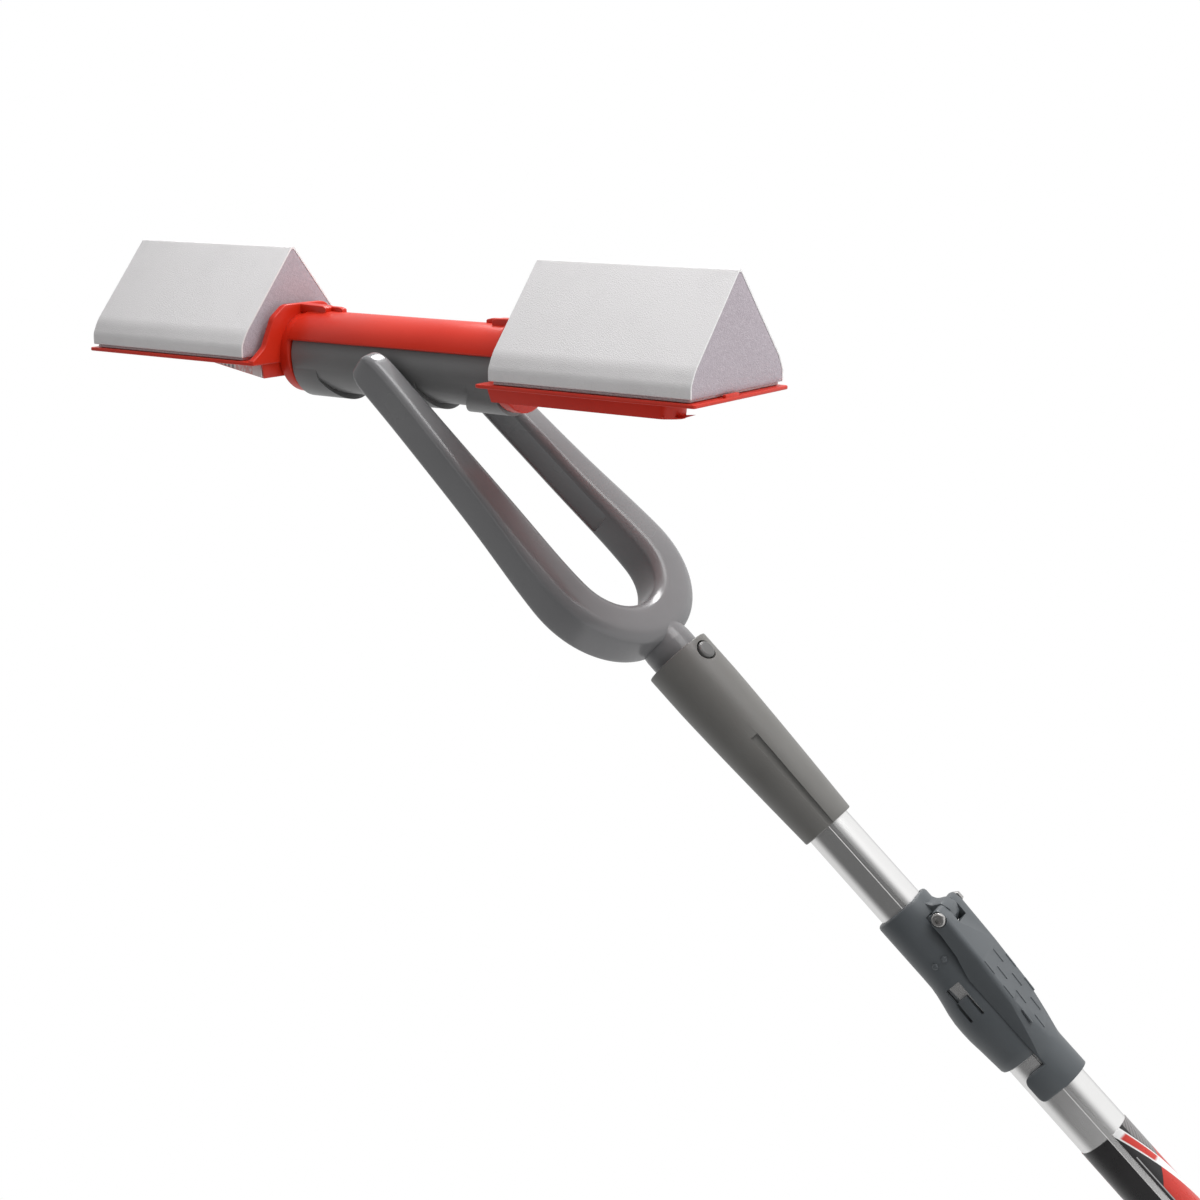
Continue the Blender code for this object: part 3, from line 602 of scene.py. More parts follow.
def make_grip():
    """Ribbed rubber grip with a collar at each end."""
    low, high, radius = GRIP_LOW, GRIP_TOP, 16.5
    corners = [(13.0, low), (radius, low, 0.8), (radius, low + 9.0, 0.8)]
    rib, gap = 7.5, 2.2
    count = int((high - low - 30.0) / (rib + gap))
    at = low + 9.0
    for _ in range(count):
        corners += [(radius - 1.0, at + 0.6, 0.5), (radius - 1.0, at + gap - 0.6, 0.5),
                    (radius, at + gap, 0.7), (radius, at + gap + rib, 0.7)]
        at += rib + gap
    corners += [(radius, high - 3.5, 1.5), (radius - 2.2, high, 0.8), (13.0, high)]
    piece = turned("ribbed_grip", corners, steps=3)
    return settle(piece, GRIP_RUBBER, "handle", ["hand_grip"], crease=40.0)


def make_end_cap():
    top = GRIP_LOW - 0.3
    corners = [(0.0, 1.2), (7.0, 1.2, 0.5), (8.0, 0.0, 0.5), (14.0, 0.0, 1.0), (16.5, 2.6, 1.6),
               (16.5, 7.0, 0.4), (15.9, 7.6, 0.3), (15.9, 8.6, 0.3), (16.5, 9.2, 0.4), (16.5, top, 0.6),
               (13.0, top), (13.0, 2.7), (11.6, 2.7), (11.6, 23.5, 0.4), (0.0, 24.0)]
    return settle(turned("butt_cap", corners), CAP_PLASTIC, "handle", ["end_cap"])


# ---- clamp --------------------------------------------------------------------------------

PIN_X = 17.0
PIN_Z = CLAMP_TOP - 13.5
SLEEVE_R = 14.0
WINDOW_Z = CLAMP_TOP - 43.5


def make_sleeve():
    """Sleeve swept down from its top ring, swelling on the side away from the lever."""
    stations = [(0.0, 0.0, 13.1), (0.5, 0.0, 13.7), (1.6, 0.0, 14.0), (10.0, 0.0, 14.0), (30.0, 0.0, 14.0),
                (36.0, 0.1, 14.0), (40.0, 0.6, 14.0), (45.0, 1.6, 14.0), (50.0, 2.7, 14.0),
                (55.0, 3.35, 14.0), (60.0, 3.5, 14.0), (65.0, 3.35, 14.0), (72.0, 2.6, 14.0),
                (80.0, 1.9, 14.0), (83.6, 1.6, 14.0), (84.6, 1.35, 13.7), (85.0, 0.9, 13.2)]
    bpy.ops.object.select_all(action="DESELECT")
    bpy.ops.mesh.primitive_circle_add(vertices=ROUND, radius=stations[0][2] * MM, fill_type="NGON",
                                      location=(0.0, 0.0, CLAMP_TOP * MM))
    piece = bpy.context.object
    piece.name = piece.data.name = "telescope_sleeve"
    only(piece)
    bpy.ops.object.transform_apply(location=True, rotation=True, scale=True)
    bpy.ops.object.mode_set(mode="EDIT")
    bpy.ops.mesh.select_mode(type="FACE")
    bpy.ops.mesh.select_all(action="SELECT")
    size, middle, down = stations[0][2], 0.0, 0.0
    for next_down, belly, radius in stations[1:]:
        extrude((-belly / 2 - middle, 0.0, down - next_down))
        middle, down, grown = -belly / 2, next_down, radius + belly / 2
        resize(grown / size, grown / size, 1.0, (middle, 0.0, CLAMP_TOP - down))
        size = grown
    closed_up()
    lug = outline((11.0, PIN_Z - 11.0), (15.0, PIN_Z - 7.5, 2.0), (PIN_X + 2.4, PIN_Z - 4.0, 2.0),
                  (PIN_X + 4.1, PIN_Z, 3.6), (PIN_X + 2.4, PIN_Z + 4.3, 3.0), (15.0, PIN_Z + 6.2, 4.0),
                  (11.0, PIN_Z + 12.5))
    join(piece, soften(extruded("lug", lug, -4.7, 4.7, "Y"), 0.5))
    cut(piece, rod("bore", INNER_R + 0.35, CLAMP_TOP - 95.0, CLAMP_TOP + 5.0))
    cut(piece, rod("counterbore", OUTER_R + 0.3, SLEEVE_LOW - 5.0, OUTER_TUBE[1] + 0.3))
    tongue = outline((-4.2, WINDOW_Z + 3.5, 0.4), (4.2, WINDOW_Z + 3.5, 0.4), (4.2, WINDOW_Z - 14.0, 0.5),
                     (2.6, WINDOW_Z - 14.0, 0.5), (2.6, WINDOW_Z - 3.5, 0.3), (-2.6, WINDOW_Z - 3.5, 0.3),
                     (-2.6, WINDOW_Z - 14.0, 0.5), (-4.2, WINDOW_Z - 14.0, 0.5), steps=3)
    for side in (-1, 1):
        near, far = sorted((side * 10.0, side * 20.0))
        cut(piece, extruded("window", tongue, near, far, "Y"))
        near, far = sorted((side * 5.0, side * 8.8))
        cut(piece, block("shoe_window", (6.0, near, PIN_Z - 3.9), (20.0, far, PIN_Z + 3.9)))
    for azimuth in (-87.0, -65.0):
        a = math.radians(azimuth)
        stud = turned("stud", [(0.0, -1.0), (1.5, -1.0), (1.5, 0.6, 0.3), (1.0, 1.0, 0.3), (0.0, 1.05)], "Z",
                      sides=24, steps=3)
        stud.matrix_world = (Matrix.Translation(Vector((13.95 * math.cos(a), 13.95 * math.sin(a),
                                                        CLAMP_TOP - 28.5)) * MM)
                             @ Matrix.Rotation(a, 4, "Z") @ Matrix.Rotation(math.pi / 2, 4, "Y"))
        join(piece, stud)
    return settle(piece, CLAMP_DARK, "handle", ["clamp_sleeve"], CLAMP)


def make_lever():
    """Lever: flat back, rounded long edges, hollow inside, hood round the tube at its lower end."""
    top, half = PIN_Z, 12.8
    back = outline((PIN_X - 1.5, top + 4.1, 3.6), (PIN_X + 2.6, top + 4.1, 2.5),
                   (20.6, CLAMP_TOP - 15.0, 3.0), (19.6, CLAMP_TOP - 38.0, 20.0),
                   (17.7, CLAMP_TOP - 62.0, 20.0), (15.8, CLAMP_TOP - 83.0, 12.0), (15.7, HOOD_LOW),
                   (8.3, HOOD_LOW), (8.3, CLAMP_TOP - 42.0, 9.0), (11.5, CLAMP_TOP - 31.0, 9.0),
                   (PIN_X - 4.2, top - 6.2, 7.0), (PIN_X - 4.3, top, 4.0), steps=8)
    lever = extruded("snap_lever", back, -half, half, "Y")
    edit(lever, "EDGE")
    pick(lever, lambda at, way: at.x > 15.6 and abs(abs(at.y) - half) < 0.01 and abs(way.y) < 0.1, "EDGE")
    bpy.ops.mesh.bevel(offset=2.2 * MM, segments=5, affect="EDGES")
    done()
    round_back = turned("hood", [(13.2, HOOD_LOW), (15.7, HOOD_LOW, 1.2), (15.7, HOOD_TOP - 3.0, 1.0),
                                 (13.2, HOOD_TOP - 3.0)])
    side_view = outline((-4.2, HOOD_LOW - 0.05, 3.5), (3.0, HOOD_LOW - 0.05), (3.0, HOOD_LOW - 1.0),
                        (20.0, HOOD_LOW - 1.0), (20.0, HOOD_TOP + 5.0), (6.0, HOOD_TOP + 5.0),
                        (3.5, HOOD_TOP - 2.9, 2.0), (-4.2, HOOD_TOP - 3.3, 4.0))
    combine(round_back, extruded("hood_side", side_view, -20.0, 20.0, "Y"), "INTERSECT")
    envelope = turned("envelope", [(0.0, HOOD_LOW - 1.0), (15.69, HOOD_LOW - 1.0),
                                   (15.72, CLAMP_TOP - 87.0, 20.0), (17.9, CLAMP_TOP - 76.5, 30.0),
                                   (21.0, CLAMP_TOP - 60.0, 20.0), (26.5, CLAMP_TOP - 20.0),
                                   (26.5, CLAMP_TOP + 10.0), (0.0, CLAMP_TOP + 10.0)],
                      steps=8)
    combine(lever, envelope, "INTERSECT")
    cut(lever, rod("tube_space", OUTER_R + 0.4, HOOD_LOW - 5.0, HOOD_TOP + 5.0))
    join(lever, round_back)
    inside = outline((5.0, PIN_Z - 6.5), (PIN_X, PIN_Z - 6.5, 1.0), (18.0, CLAMP_TOP - 38.0, 10.0),
                     (15.9, CLAMP_TOP - 62.0, 10.0), (15.0, CLAMP_TOP - 69.0, 1.0), (5.0, CLAMP_TOP - 69.0))
    cut(lever, extruded("hollow", inside, -10.4, 10.4, "Y"))
    cut(lever, rod("clearance", SLEEVE_R + 0.7, HOOD_TOP + 0.5, CLAMP_TOP + 10.0))
    cut(lever, block("lug_slot", (0.0, -5.1, PIN_Z - 7.0), (30.0, 5.1, PIN_Z + 20.0)))
    soften(lever, 0.35, 2, 40.0)
    cut(lever, rod("pin_hole", 1.9, -20.0, 20.0, "Y", (PIN_X, 0.0, PIN_Z), 32))
    cut(lever, turned("head_recess", [(0.0, -14.0), (3.7, -14.0), (3.7, -11.6), (0.0, -11.6)], "Y",
                      (PIN_X, 0.0, PIN_Z), 48))
    add_dashes(lever)
    return settle(lever, CLAMP_DARK, "lever", ["clamp_lever"], CLAMP)


def back_x(down):
    """Where the lever's back lies, a given way down the clamp."""
    table = [(15.0, 20.6), (38.0, 19.6), (62.0, 17.7), (83.0, 15.8), (105.0, 15.7)]
    for (first, x), (last, far) in zip(table, table[1:]):
        if down <= last:
            return x + (far - x) * (down - first) / (last - first)
    return table[-1][1]


def add_dashes(lever):
    """Raised grip marks on the lever's back, in staggered rows."""
    for across, first, count in ((-10.2, 40.0, 3), (-3.6, 46.0, 3), (3.6, 40.0, 3), (10.2, 46.0, 2)):
        for i in range(count):
            down = first + 13.3 * i + 3.8
            lean = math.atan2(back_x(down - 2.0) - back_x(down + 2.0), 4.0)
            dash = soften(block("dash", (-0.6, -0.55, -3.6), (0.35, 0.55, 3.6)), 0.3, 3)
            dash.matrix_world = (Matrix.Translation(Vector((back_x(down), across, CLAMP_TOP - down)) * MM)
                                 @ Matrix.Rotation(lean, 4, "Y"))
            join(lever, dash)


def make_lever_pin():
    """Shouldered pin: round head with a hexagon socket, and its nut."""
    at = (PIN_X, 0.0, PIN_Z)
    corners = [(0.0, -12.1), (1.6, -12.1), (1.6, 15.0, 0.2), (0.0, 15.0)]
    shank = turned("hinge_pin", corners, "Y", at, 48)
    head = turned("head", [(0.0, -13.6), (2.7, -13.6, 0.5), (3.3, -13.1, 0.4), (3.3, -11.9), (0.0, -11.9)],
                  "Y", at, 48)
    join(shank, head)
    cut(shank, rod("socket", 1.7, -17.0, -12.3, "Y", at, 6))
    settle(shank, STEEL, "handle", ["lever_pin"], CLAMP)
    nut = turned("hinge_nut", [(1.75, 13.1), (3.35, 13.1), (3.35, 15.3), (1.75, 15.3)], "Y", at, 6)
    soften(nut, 0.25, 2)
    settle(nut, STEEL, "handle", ["pin_nut"], CLAMP)


# ---- adapter and fork ---------------------------------------------------------------------

BUTTON_Z = PIVOT_Z - 199.5
NECK_Z = PIVOT_Z - 188.0


def adapter_radius(down):
    """Outer radius of the adapter: straight at first, then drawn in."""
    share = min(max((down - 22.0) / 83.0, 0.0), 1.0)
    return 16.7 - 0.25 * down / 105.0 - 3.05 * share ** 1.25


def make_adapter():
    top, length = ADAPTER_TOP, ADAPTER_TOP - ADAPTER_LOW
    corners = [(12.7, top), (adapter_radius(0.0), top, 0.7)]
    corners += [(adapter_radius(down), top - down) for down in (6.0, 14.0, 22.0, 30.0, 40.0, 52.0, 64.0, 78.0,
                                                                92.0)]
    corners += [(adapter_radius(length), ADAPTER_LOW, 0.7), (INNER_R + 0.3, ADAPTER_LOW),
                (INNER_R + 0.3, top - 54.0), (INNER_R - 1.0, top - 54.0), (INNER_R - 1.0, top - 50.0),
                (12.7, top - 50.0)]
    piece = turned("pole_adapter", corners)
    side_view = [(adapter_radius(52.0) - 1.5, top - 52.0), (adapter_radius(78.0) - 1.5, top - 78.0),
                 (12.1, ADAPTER_LOW - 1.0), (20.0, ADAPTER_LOW - 1.0), (20.0, top - 52.0)]
    slot = extruded("slot", side_view, -2.1, 2.1, "Y")
    taper = extruded("slot_taper", [(-1.95, top - 51.0), (1.95, top - 51.0), (1.15, top - 110.0),
                                    (-1.15, top - 110.0)], 5.0, 25.0, "X")
    combine(slot, taper, "INTERSECT")
    cut(piece, turn_round(slot, GROOVE_AT + 2.0, "Z"))
    cut(piece, rod("button_hole", 5.1, -20.0, -10.0, "Y", (0.0, 0.0, BUTTON_Z), 48))
    soften(piece, 0.25, 2, 45.0)
    return settle(piece, ADAPTER_GREY, "mast", ["adapter"], crease=30.0)


def make_button():
    corners = [(0.0, -17.6), (3.3, -17.5, 0.8), (4.3, -16.9, 0.6), (4.3, -8.5),
               (3.8, -8.5), (3.8, -14.0), (0.0, -14.0)]
    piece = turned("latch_button", corners, "Y", (0.0, 0.0, BUTTON_Z), 64)
    return settle(piece, BUTTON_GREY, "button", ["lock_button"])


BEND_Z = PIVOT_Z - 139.5
BEND_R = 34.4


def make_fork():
    """One prong and half the bend, swept ring by ring, then mirrored, with the neck joined on."""
    corner, parts = 3.4, 4
    tip = (27.0, PIVOT_Z + 10.2)
    bpy.ops.object.select_all(action="DESELECT")
    bpy.ops.mesh.primitive_plane_add(size=2 * MM, location=(tip[0] * MM, 0.0, tip[1] * MM))
    piece = bpy.context.object
    piece.name = piece.data.name = "swivel_fork"
    bpy.ops.object.transform_apply(location=True, rotation=True, scale=True)
    bpy.ops.object.mode_set(mode="EDIT")
    bpy.ops.mesh.select_mode(type="VERT")
    bpy.ops.mesh.select_all(action="SELECT")
    at = Vector((tip[0], 0.0, tip[1]))
    size, small = (6.0, 9.8), (3.6, 4.2)     # half thickness and half width of the prong and of its tip
    resize(*size, 1.0, at)
    bpy.ops.mesh.bevel(offset=corner * MM, segments=parts, affect="VERTICES")
    bpy.ops.mesh.select_mode(type="FACE")
    bpy.ops.mesh.select_all(action="SELECT")
    resize(small[0] / size[0], small[1] / size[1], 1.0, at)
    size = small
    straight = [(9.4, 27.0, 5.0, 6.2), (7.4, 27.0, 5.7, 7.9), (4.4, 27.0, 6.0, 9.2), (0.0, 27.0, 6.0, 9.8),
                (-12.0, 27.3, 6.2, 9.8), (-24.0, 27.7, 6.5, 9.8), (-45.0, 28.7, 7.2, 9.8),
                (-66.0, 29.7, 7.9, 9.8), (-87.0, 30.8, 8.7, 9.9), (-104.0, 32.2, 9.6, 10.1),
                (-118.0, 33.5, 10.3, 10.4), (-130.0, 34.2, 10.7, 10.8)]
    rounder = {-104.0: 0.25, -118.0: 0.35, -130.0: 0.35}
    for up, x, thick, wide in straight:
        there = Vector((x, 0.0, PIVOT_Z + up))
        extrude(there - at)
        resize(thick / size[0], wide / size[1], 1.0, there)
        if up in rounder:
            bpy.ops.transform.tosphere(value=rounder[up])
        at, size = there, (thick, wide)
    there = Vector((BEND_R, 0.0, BEND_Z))
    round_half = 11.1                        # half width of the round bend
    extrude(there - at)
    resize(round_half / size[0], round_half / size[1], 1.0, there)
    bpy.ops.mesh.spin(steps=7, angle=math.pi / 2, center=(0.0, 0.0, BEND_Z * MM), axis=(0.0, -1.0, 0.0))
    pick(piece, lambda at, normal: at.x < 1.0 and at.z < BEND_Z)
    bpy.ops.mesh.delete(type="FACE")
    closed_up()
    modify(piece, "MIRROR", use_axis=(True, False, False), use_clip=True, merge_threshold=0.05 * MM)
    modify(piece, "SUBSURF", levels=3, render_levels=3)
    neck = turned("neck", [(0.0, 677.0), (12.4, 677.0, 1.5), (12.4, NECK_Z + 2.5, 1.0),
                           (11.9, NECK_Z + 7.0, 4.0), (10.6, NECK_Z + 14.0), (0.0, NECK_Z + 14.0)])
    join(piece, neck)
    for side in (-1, 1):
        channel = [(side * x, PIVOT_Z + z) for x, z in ((12.0, -20.0), (22.1, -20.0), (22.6, -45.0),
                                                        (23.2, -87.0), (24.2, -112.0), (24.4, -118.0),
                                                        (12.0, -118.0))]
        cut(piece, soften(extruded("channel", channel, -5.5, 7.0, "Y"), 1.2, 3))
    cut(piece, rod("button_bore", 4.6, -20.0, 4.0, "Y", (0.0, 0.0, BUTTON_Z), 48))
    cut(piece, rod("pin_bore", PIN_BORE_R, -30.3, 60.0, "X", (0.0, 0.0, PIVOT_Z), 48))
    mark = [(-2.2, PIVOT_Z - 22.0), (0.2, PIVOT_Z - 15.5), (1.4, PIVOT_Z - 22.0)]
    cut(piece, extruded("gate_mark", [(x, z) for x, z in mark], 20.0, 22.6, "X"))
    return settle(piece, FORK_GREY, "mast", ["fork"], crease=40.0)


def make_pin_cap():
    """Domed cap over the rear end of the pivot pin; the front end is blind."""
    corners = [(0.0, 33.4), (4.4, 33.4, 0.2), (4.5, 34.2, 0.5), (3.0, 34.8, 1.2), (0.0, 34.9)]
    cap = turned("domed_pin_cap", corners, "X", (0.0, 0.0, PIVOT_Z), 48)
    return settle(cap, FORK_GREY, "mast", ["pin_cap_rear"])


# ---- head ---------------------------------------------------------------------------------

BARREL_R = 18.7
BARREL_HALF = 62.6


def collar(name, *side_view):
    """Ring round the barrel that stands out only underneath, kept inside a slanting side view (x, z)."""
    ring = rod(name, 18.5, -BARREL_HALF + 0.2, BARREL_HALF - 0.2, "X", (0.0, 0.0, -3.2))
    combine(ring, extruded("keep", side_view, -25.0, 25.0, "Y"), "INTERSECT")
    soften(ring, 0.7, 4, 40.0)
    return cut(ring, rod("bore", 16.0, -80.0, 80.0, "X"))


def make_barrel():
    half = BARREL_HALF
    corners = [(14.4, -half, 0.5), (BARREL_R, -half, 0.9), (BARREL_R, half, 0.9), (14.4, half, 0.5)]
    piece = turned("swivel_sleeve", corners, "X")
    join(piece, collar("middle_collar", (-15.5, 0.0), (-15.5, -8.0), (-23.4, -22.5), (23.4, -22.5),
                       (15.5, -8.0), (15.5, 0.0)))
    for side in (-1, 1):
        join(piece, collar("end_collar", (side * 70.0, 0.0), (side * 47.0, 0.0), (side * 47.0, -8.0),
                           (side * 36.4, -22.5), (side * 70.0, -22.5)))
    for side in (-1, 1):
        boss = turned("boss", [(PIN_BORE_R, side * 16.0), (3.6, side * 16.0), (3.6, side * 20.7, 0.4),
                               (PIN_BORE_R, side * 20.7)],
                      "Y", sides=32)
        join(piece, boss)
        near, far = sorted((side * 10.0, side * 22.0))
        cut(piece, rod("pin_way", PIN_BORE_R, near, far, "Y", sides=32))
    return settle(piece, BARREL_GREY, "barrel", ["swivel_barrel"], BARREL)


PLATE_IN, PLATE_OUT, PLATE_HALF = 69.0, 186.0, 39.0
PLATE_TOP, PLATE_LOW, TRAY_LOW = -2.0, -3.8, -11.0


def tray_corners(side):
    """Plan of the stiffening tray, counter-clockwise: one edge straight, the other tapering outwards."""
    return [(side * x, side * y, r) for x, y, r in (
        (PLATE_IN + 1.0, -31.0, 0.0), (165.0, -31.0, 6.0), (171.5, -26.0, 5.0), (171.0, -20.0, 5.0),
        (164.0, -15.5, 8.0), (PLATE_IN + 1.0, 31.0, 0.0))]


def make_tray(side):
    """Tray with drafted walls, a rounded foot and a shallow panel sunk in its floor."""
    tray = extruded("tray", outline(*tray_corners(side)), PLATE_LOW + 0.4, PLATE_LOW - 0.5, "Z")
    edit(tray)
    pick(tray, lambda at, normal: normal.z < -0.9)
    extrude((0.0, 0.0, TRAY_LOW - PLATE_LOW + 0.5))
    resize(0.975, 0.94, 1.0, (side * 124.0, side * -8.0, PLATE_LOW))
    bpy.ops.mesh.inset(thickness=5.0 * MM)
    bpy.ops.mesh.inset(thickness=0.8 * MM)
    bpy.ops.transform.translate(value=(0.0, 0.0, 1.0 * MM))
    done()
    return soften(tray, 1.1, 4, 25.0)


def end_wall(side):
    """Wall at the inner end of a plate: it flares out to one corner and hugs the disc at the other."""
    flared = [(38.6, PLATE_LOW, 0.0), (38.6, PLATE_TOP + 0.4, 0.6), (34.6, 0.8, 5.0), (29.4, 4.8, 7.0),
              (26.2, 11.6, 9.0), (22.8, 18.6, 8.0), (14.5, 24.2, 8.0)]
    close = [(23.6, PLATE_LOW, 0.0), (23.4, 8.0, 10.0), (21.2, 17.4, 8.0), (14.0, 24.2, 8.0)]
    points = outline(*[(side * y, z, r) for y, z, r in flared],
                     *[(-side * y, z, r) for y, z, r in reversed(close)])
    near, far = sorted((side * (PLATE_IN - 0.2), side * 72.3))
    return soften(extruded("end_wall", points, near, far, "X"), 0.6, 3)


def make_head_frame():
    """Red moulding: upper shell, discs, arched walls, plates, trays and top tabs in one."""
    lip = 22.5
    shell = arc(20.7, lip, 180 - lip, 56) + arc(19.0, 180 - lip, lip, 56)
    piece = soften(extruded("corner_head", shell, -64.0, 64.0, "X"), 0.35, 2)
    for side in (-1, 1):
        disc = turned("disc", [(0.0, side * 63.0), (19.8, side * 63.0, 0.9), (19.8, side * 69.6, 0.9),
                               (0.0, side * 69.6)], "X")
        join(piece, disc)
        join(piece, rod("spigot", 12.0, *sorted((side * 55.8, side * 64.0)), "X"))
        join(piece, end_wall(side), "MANIFOLD")
        near, far = sorted((side * PLATE_IN, side * PLATE_OUT))
        plan = outline((near, -PLATE_HALF, 1.6), (far, -PLATE_HALF, 1.6), (far, PLATE_HALF, 1.6),
                       (near, PLATE_HALF, 1.6))
        join(piece, soften(extruded("plate", plan, PLATE_LOW, PLATE_TOP, "Z"), 0.55, 3))
        join(piece, make_tray(side))
        join(piece, top_tab(side))
        rim = soften(block("rim", (min(side * 183.9, side * 185.8), -14.0, PLATE_LOW + 0.3),
                           (max(side * 183.9, side * 185.8), -3.0, -0.6)), 0.4, 3)
        join(piece, rim)
    return settle(piece, RED, "head", ["head_frame"], HEAD)


def top_tab(side):
    """Stiffening tab from the wall onto the shell, with a longer leg at the back."""
    front = outline((side * 70.5, 19.4), (side * 52.0, 19.4), (side * 52.0, 22.6, 1.0),
                    (side * 54.0, 23.4, 1.2), (side * 70.5, 23.9))
    back = outline((side * 70.5, 19.4), (side * 45.0, 19.4), (side * 45.0, 22.2, 1.0),
                   (side * 48.0, 22.9, 1.2), (side * 70.5, 23.4))
    tab = soften(extruded("tab", front, -4.0, 3.0, "Y"), 0.5, 3)
    return join(tab, soften(extruded("tab_leg", back, 0.5, 4.0, "Y"), 0.5, 3))


# ---- sanding blocks -----------------------------------------------------------------------

BLOCK_IN, BLOCK_OUT, BASE, RIDGE = 76.5, 183.4, -0.3, 50.7
SHEET = 0.9


def wedge_outline(shrink):
    """End view of a block: base, upright foot, rounded shoulder, straight flank and ridge."""
    foot = 38.2 - shrink
    half = [(foot, BASE, 0.6), (foot, BASE + 5.5, 7.0),
            (35.0 - 0.8 * shrink, BASE + 12.0 - 0.6 * shrink, 22.0),
            (1.0, RIDGE + 0.7 - 1.5 * shrink, 2.2 - shrink)]
    return outline(*half, *[(-y, z, r) for y, z, r in reversed(half)], steps=8)


def make_block(name, side):
    near, far = sorted((side * BLOCK_IN, side * BLOCK_OUT))
    skin = extruded(name + "_sanding_sheet", wedge_outline(0.0), near, far, "X")
    cut(skin, extruded("core", wedge_outline(SHEET), near - 5.0, far + 5.0, "X"))
    cut(skin, block("base_cut", (near - 5.0, -37.2, -5.0), (far + 5.0, 37.2, BASE + 1.0)))
    soften(skin, 0.22, 2, 50.0)
    skin.data.materials.append(GRIT)
    skin.data.materials.append(GRIT_EDGE)
    for face in skin.data.polygons:
        face.material_index = 1 if abs(face.normal.x) > 0.35 else 0
    settle(skin, None, "head", [name + "_abrasive"], HEAD)
    settle(make_wedge(name, near + 0.2, far - 0.2), FOAM, "head", [name + "_foam_wedge"], HEAD)
    pad = block(name + "_hook_layer", (near + 1.5, -36.6, PLATE_TOP + 0.2), (far - 1.5, 36.6, BASE - 0.2))
    soften(pad, 0.4, 2)
    settle(pad, PILE, "head", [name + "_hook_pad"], HEAD)


def make_wedge(name, near, far):
    """Foam wedge whose cut ends are crowned a little, as sponge springs back after the blade."""
    wedge = extruded(name + "_sanding_sponge", wedge_outline(SHEET + 0.05), near + 0.1, far - 0.1, "X")
    edit(wedge)
    for x, way in ((near, -1.0), (far, 1.0)):
        pick(wedge, lambda at, normal: normal.x * way > 0.9)
        for share, rise in ((0.985, 0.10), (0.90, 0.08), (0.74, 0.06), (0.64, 0.03)):
            extrude((way * rise, 0.0, 0.0))
            resize(1.0, share, share, (x, 0.0, 17.0))
    done()
    return wedge


def make_sticker():
    """Sticker wrapped on the tapering front edge of the left tray."""
    corners = tray_corners(-1)
    outer_end, foot = Vector(corners[-2][:2]), Vector(corners[-1][:2])
    along = (outer_end - foot).normalized()
    out = Vector((-along.y, along.x))
    near, far = foot + along * 2.0, foot + along * 92.0
    base = [near - out * 0.5, far - out * 0.5, far + out * 0.22, near + out * 0.22]
    sticker = extruded("plate_sticker", [(p.x, p.y) for p in base], TRAY_LOW + 0.7, PLATE_LOW - 0.5, "Z")
    soften(sticker, 0.1, 2)
    return settle(sticker, STICKER, "head", ["plate_label"], HEAD)


# ---- frame nodes that keep their own shape ------------------------------------------------

def finish_hidden():
    for looks, names in ((NYLON, ("inner_end_bush", "barrel_bush_left", "barrel_bush_right")),
                         (CLAMP_DARK, ("brake_shoe",)),
                         (STEEL, ("cross_pin", "button_spring"))):
        for name in names:
            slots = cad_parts[name].data.materials
            slots.clear()
            slots.append(looks)


# ---- stage --------------------------------------------------------------------------------

CAMERA_AT = Vector((0.626, -0.731, 0.114))
CAMERA_TURN = (math.radians(90.0 - 13.655), 0.0, math.radians(35.19))


def make_camera():
    data = bpy.data.cameras.new("camera")
    data.lens, data.sensor_width = 59.64, 36.0
    data.clip_start, data.clip_end = 0.01, 100.0
    item = bpy.data.objects.new("camera", data)
    bpy.context.scene.collection.objects.link(item)
    turn = Matrix.Rotation(CAMERA_TURN[2], 4, "Z") @ Matrix.Rotation(CAMERA_TURN[0], 4, "X")
    item.matrix_world = HEAD @ Matrix.Translation(CAMERA_AT) @ turn
    bpy.context.scene.camera = item
    return item


def softbox(name, camera, right, up, near, size, power, aim=(0.0, 0.0, 0.0)):
    """Rectangular light placed in the camera's axes about the aim point, facing it."""
    axes = camera.matrix_world.to_3x3()
    centre = Vector((0.0, 0.0, 0.78)) + axes @ Vector(aim)
    data = bpy.data.lights.new(name, "AREA")
    data.shape, data.size, data.size_y, data.energy = "RECTANGLE", size[0], size[1], power
    item = bpy.data.objects.new(name, data)
    bpy.context.scene.collection.objects.link(item)
    item.location = centre + axes @ Vector((right, up, near))
    item.rotation_euler = (centre - item.location).to_track_quat("-Z", "Y").to_euler()
    item.visible_camera = False


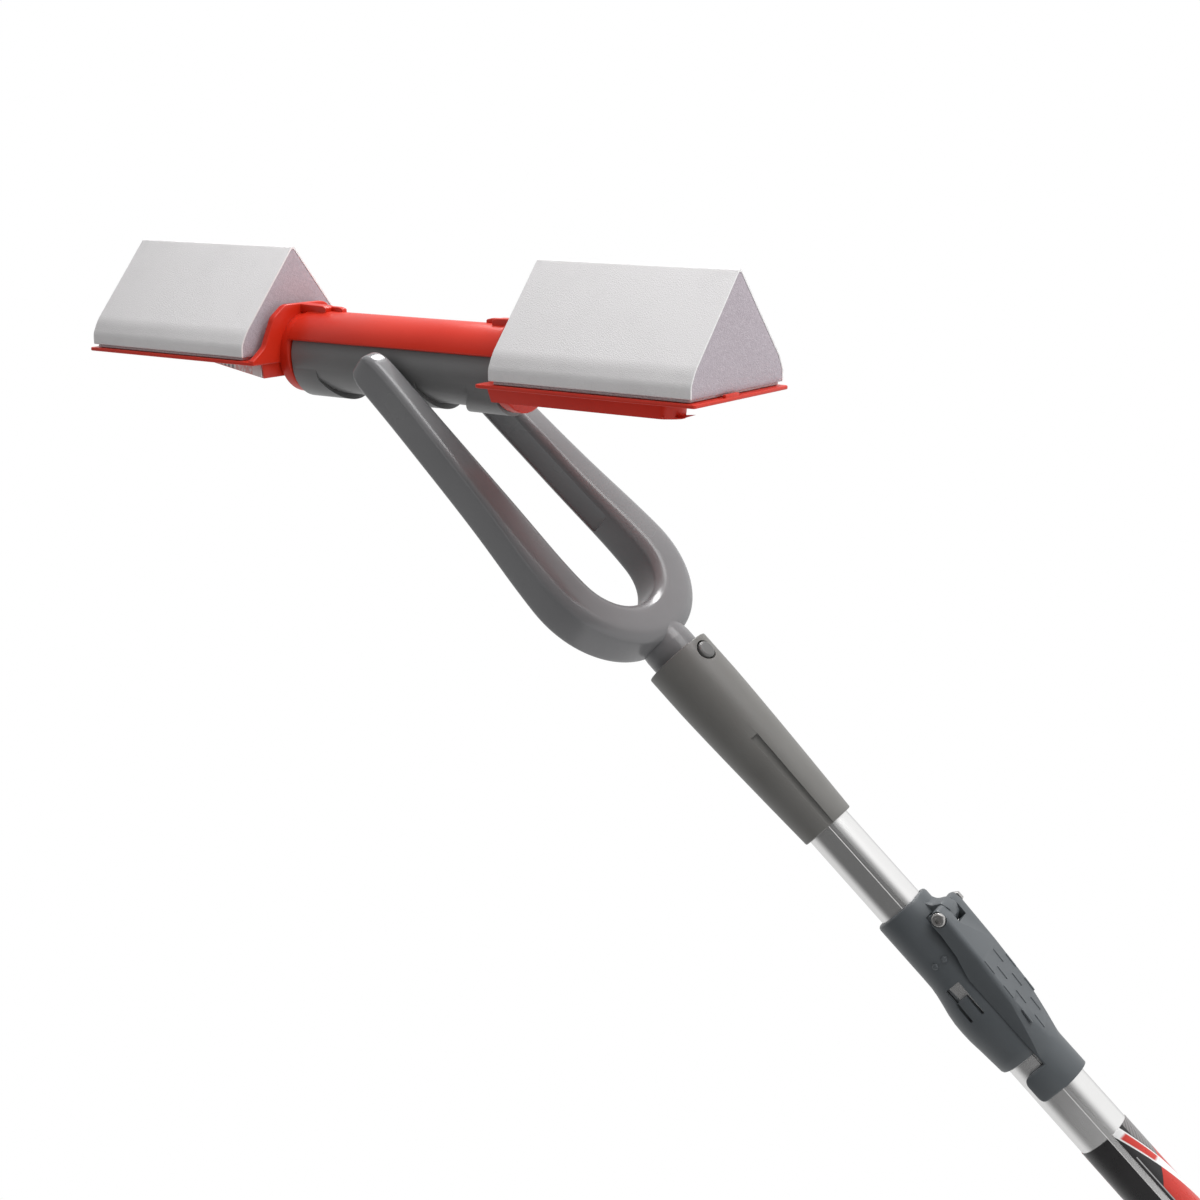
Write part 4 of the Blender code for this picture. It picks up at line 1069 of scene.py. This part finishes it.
def make_world(camera):
    """White surroundings, brightest right and above, dim behind the camera, which sees plain white."""
    world = bpy.data.worlds.new("studio")
    bpy.context.scene.world = world
    world.use_nodes = True
    tree = world.node_tree
    background = tree.nodes["Background"]
    axes = camera.matrix_world.to_3x3()
    way = tree.nodes.new("ShaderNodeTexCoord").outputs["Generated"]

    def facing(right, up, near):
        toward = (axes @ Vector((right, up, near))).normalized()
        return node(tree, "ShaderNodeVectorMath", {0: way, 1: toward},
                    operation="DOT_PRODUCT").outputs["Value"]

    back = ramp(tree, facing(0.0, 0.0, 1.0), -0.45, 0.35, 0.72, 0.13)
    side = ramp(tree, facing(0.72, 0.60, -0.12), 0.25, 0.85, 0.0, 0.95)
    top = ramp(tree, facing(0.0, 1.0, 0.35), 0.45, 0.95, 0.0, 0.75)
    level = math_node(tree, "MAXIMUM", back, math_node(tree, "MAXIMUM", side, top))
    seen = tree.nodes.new("ShaderNodeLightPath").outputs["Is Camera Ray"]
    background.inputs["Color"].default_value = (1.0, 1.0, 1.0, 1.0)
    tree.links.new(math_node(tree, "MAXIMUM", level, seen), background.inputs["Strength"])


def make_floor():
    """Pale round floor that brightens to the white of the surroundings at its rim."""
    bpy.ops.object.select_all(action="DESELECT")
    bpy.ops.mesh.primitive_circle_add(vertices=128, radius=1.5, fill_type="NGON",
                                      location=(0.0, 0.0, -0.0005))
    floor = bpy.context.object
    floor.name = "floor"
    made = bpy.data.materials.new("pale_floor")
    made.use_nodes = True
    tree = made.node_tree
    shader = tree.nodes["Principled BSDF"]
    shader.inputs["Base Color"].default_value = (0.82, 0.82, 0.82, 1.0)
    shader.inputs["Roughness"].default_value = 0.8
    place = tree.nodes.new("ShaderNodeTexCoord").outputs["Object"]
    far = node(tree, "ShaderNodeVectorMath", {0: place}, operation="LENGTH").outputs["Value"]
    glow = tree.nodes.new("ShaderNodeEmission")
    glow.inputs["Strength"].default_value = 1.0
    both = tree.nodes.new("ShaderNodeMixShader")
    tree.links.new(ramp(tree, far, 0.35, 1.35), both.inputs[0])
    tree.links.new(shader.outputs[0], both.inputs[1])
    tree.links.new(glow.outputs[0], both.inputs[2])
    tree.links.new(both.outputs[0], tree.nodes["Material Output"].inputs["Surface"])
    floor.data.materials.append(made)


bpy.context.scene.view_settings.view_transform = "Standard"
view = make_camera()
make_world(view)
softbox("key", view, 0.45, 1.1, 0.5, (0.8, 0.8), 10.0)
softbox("glint", view, 0.1, 1.15, -0.4, (0.4, 0.4), 9.0)
softbox("fill", view, -1.2, 0.1, 0.7, (0.8, 0.8), 1.5)
make_floor()

grooved_tube("outer_pole", OUTER_R, 0.8, OUTER_TUBE, ["outer_tube"], "handle")
grooved_tube("inner_pole", INNER_R, 0.9, INNER_TUBE, ["inner_tube"], "mast")
make_wrap()
make_grip()
make_end_cap()
make_sleeve()
make_lever()
make_lever_pin()
make_adapter()
make_button()
make_fork()
make_pin_cap()
make_barrel()
make_head_frame()
for block_name, block_side in (("left", -1), ("right", 1)):
    make_block(block_name, block_side)
make_sticker()
finish_hidden()
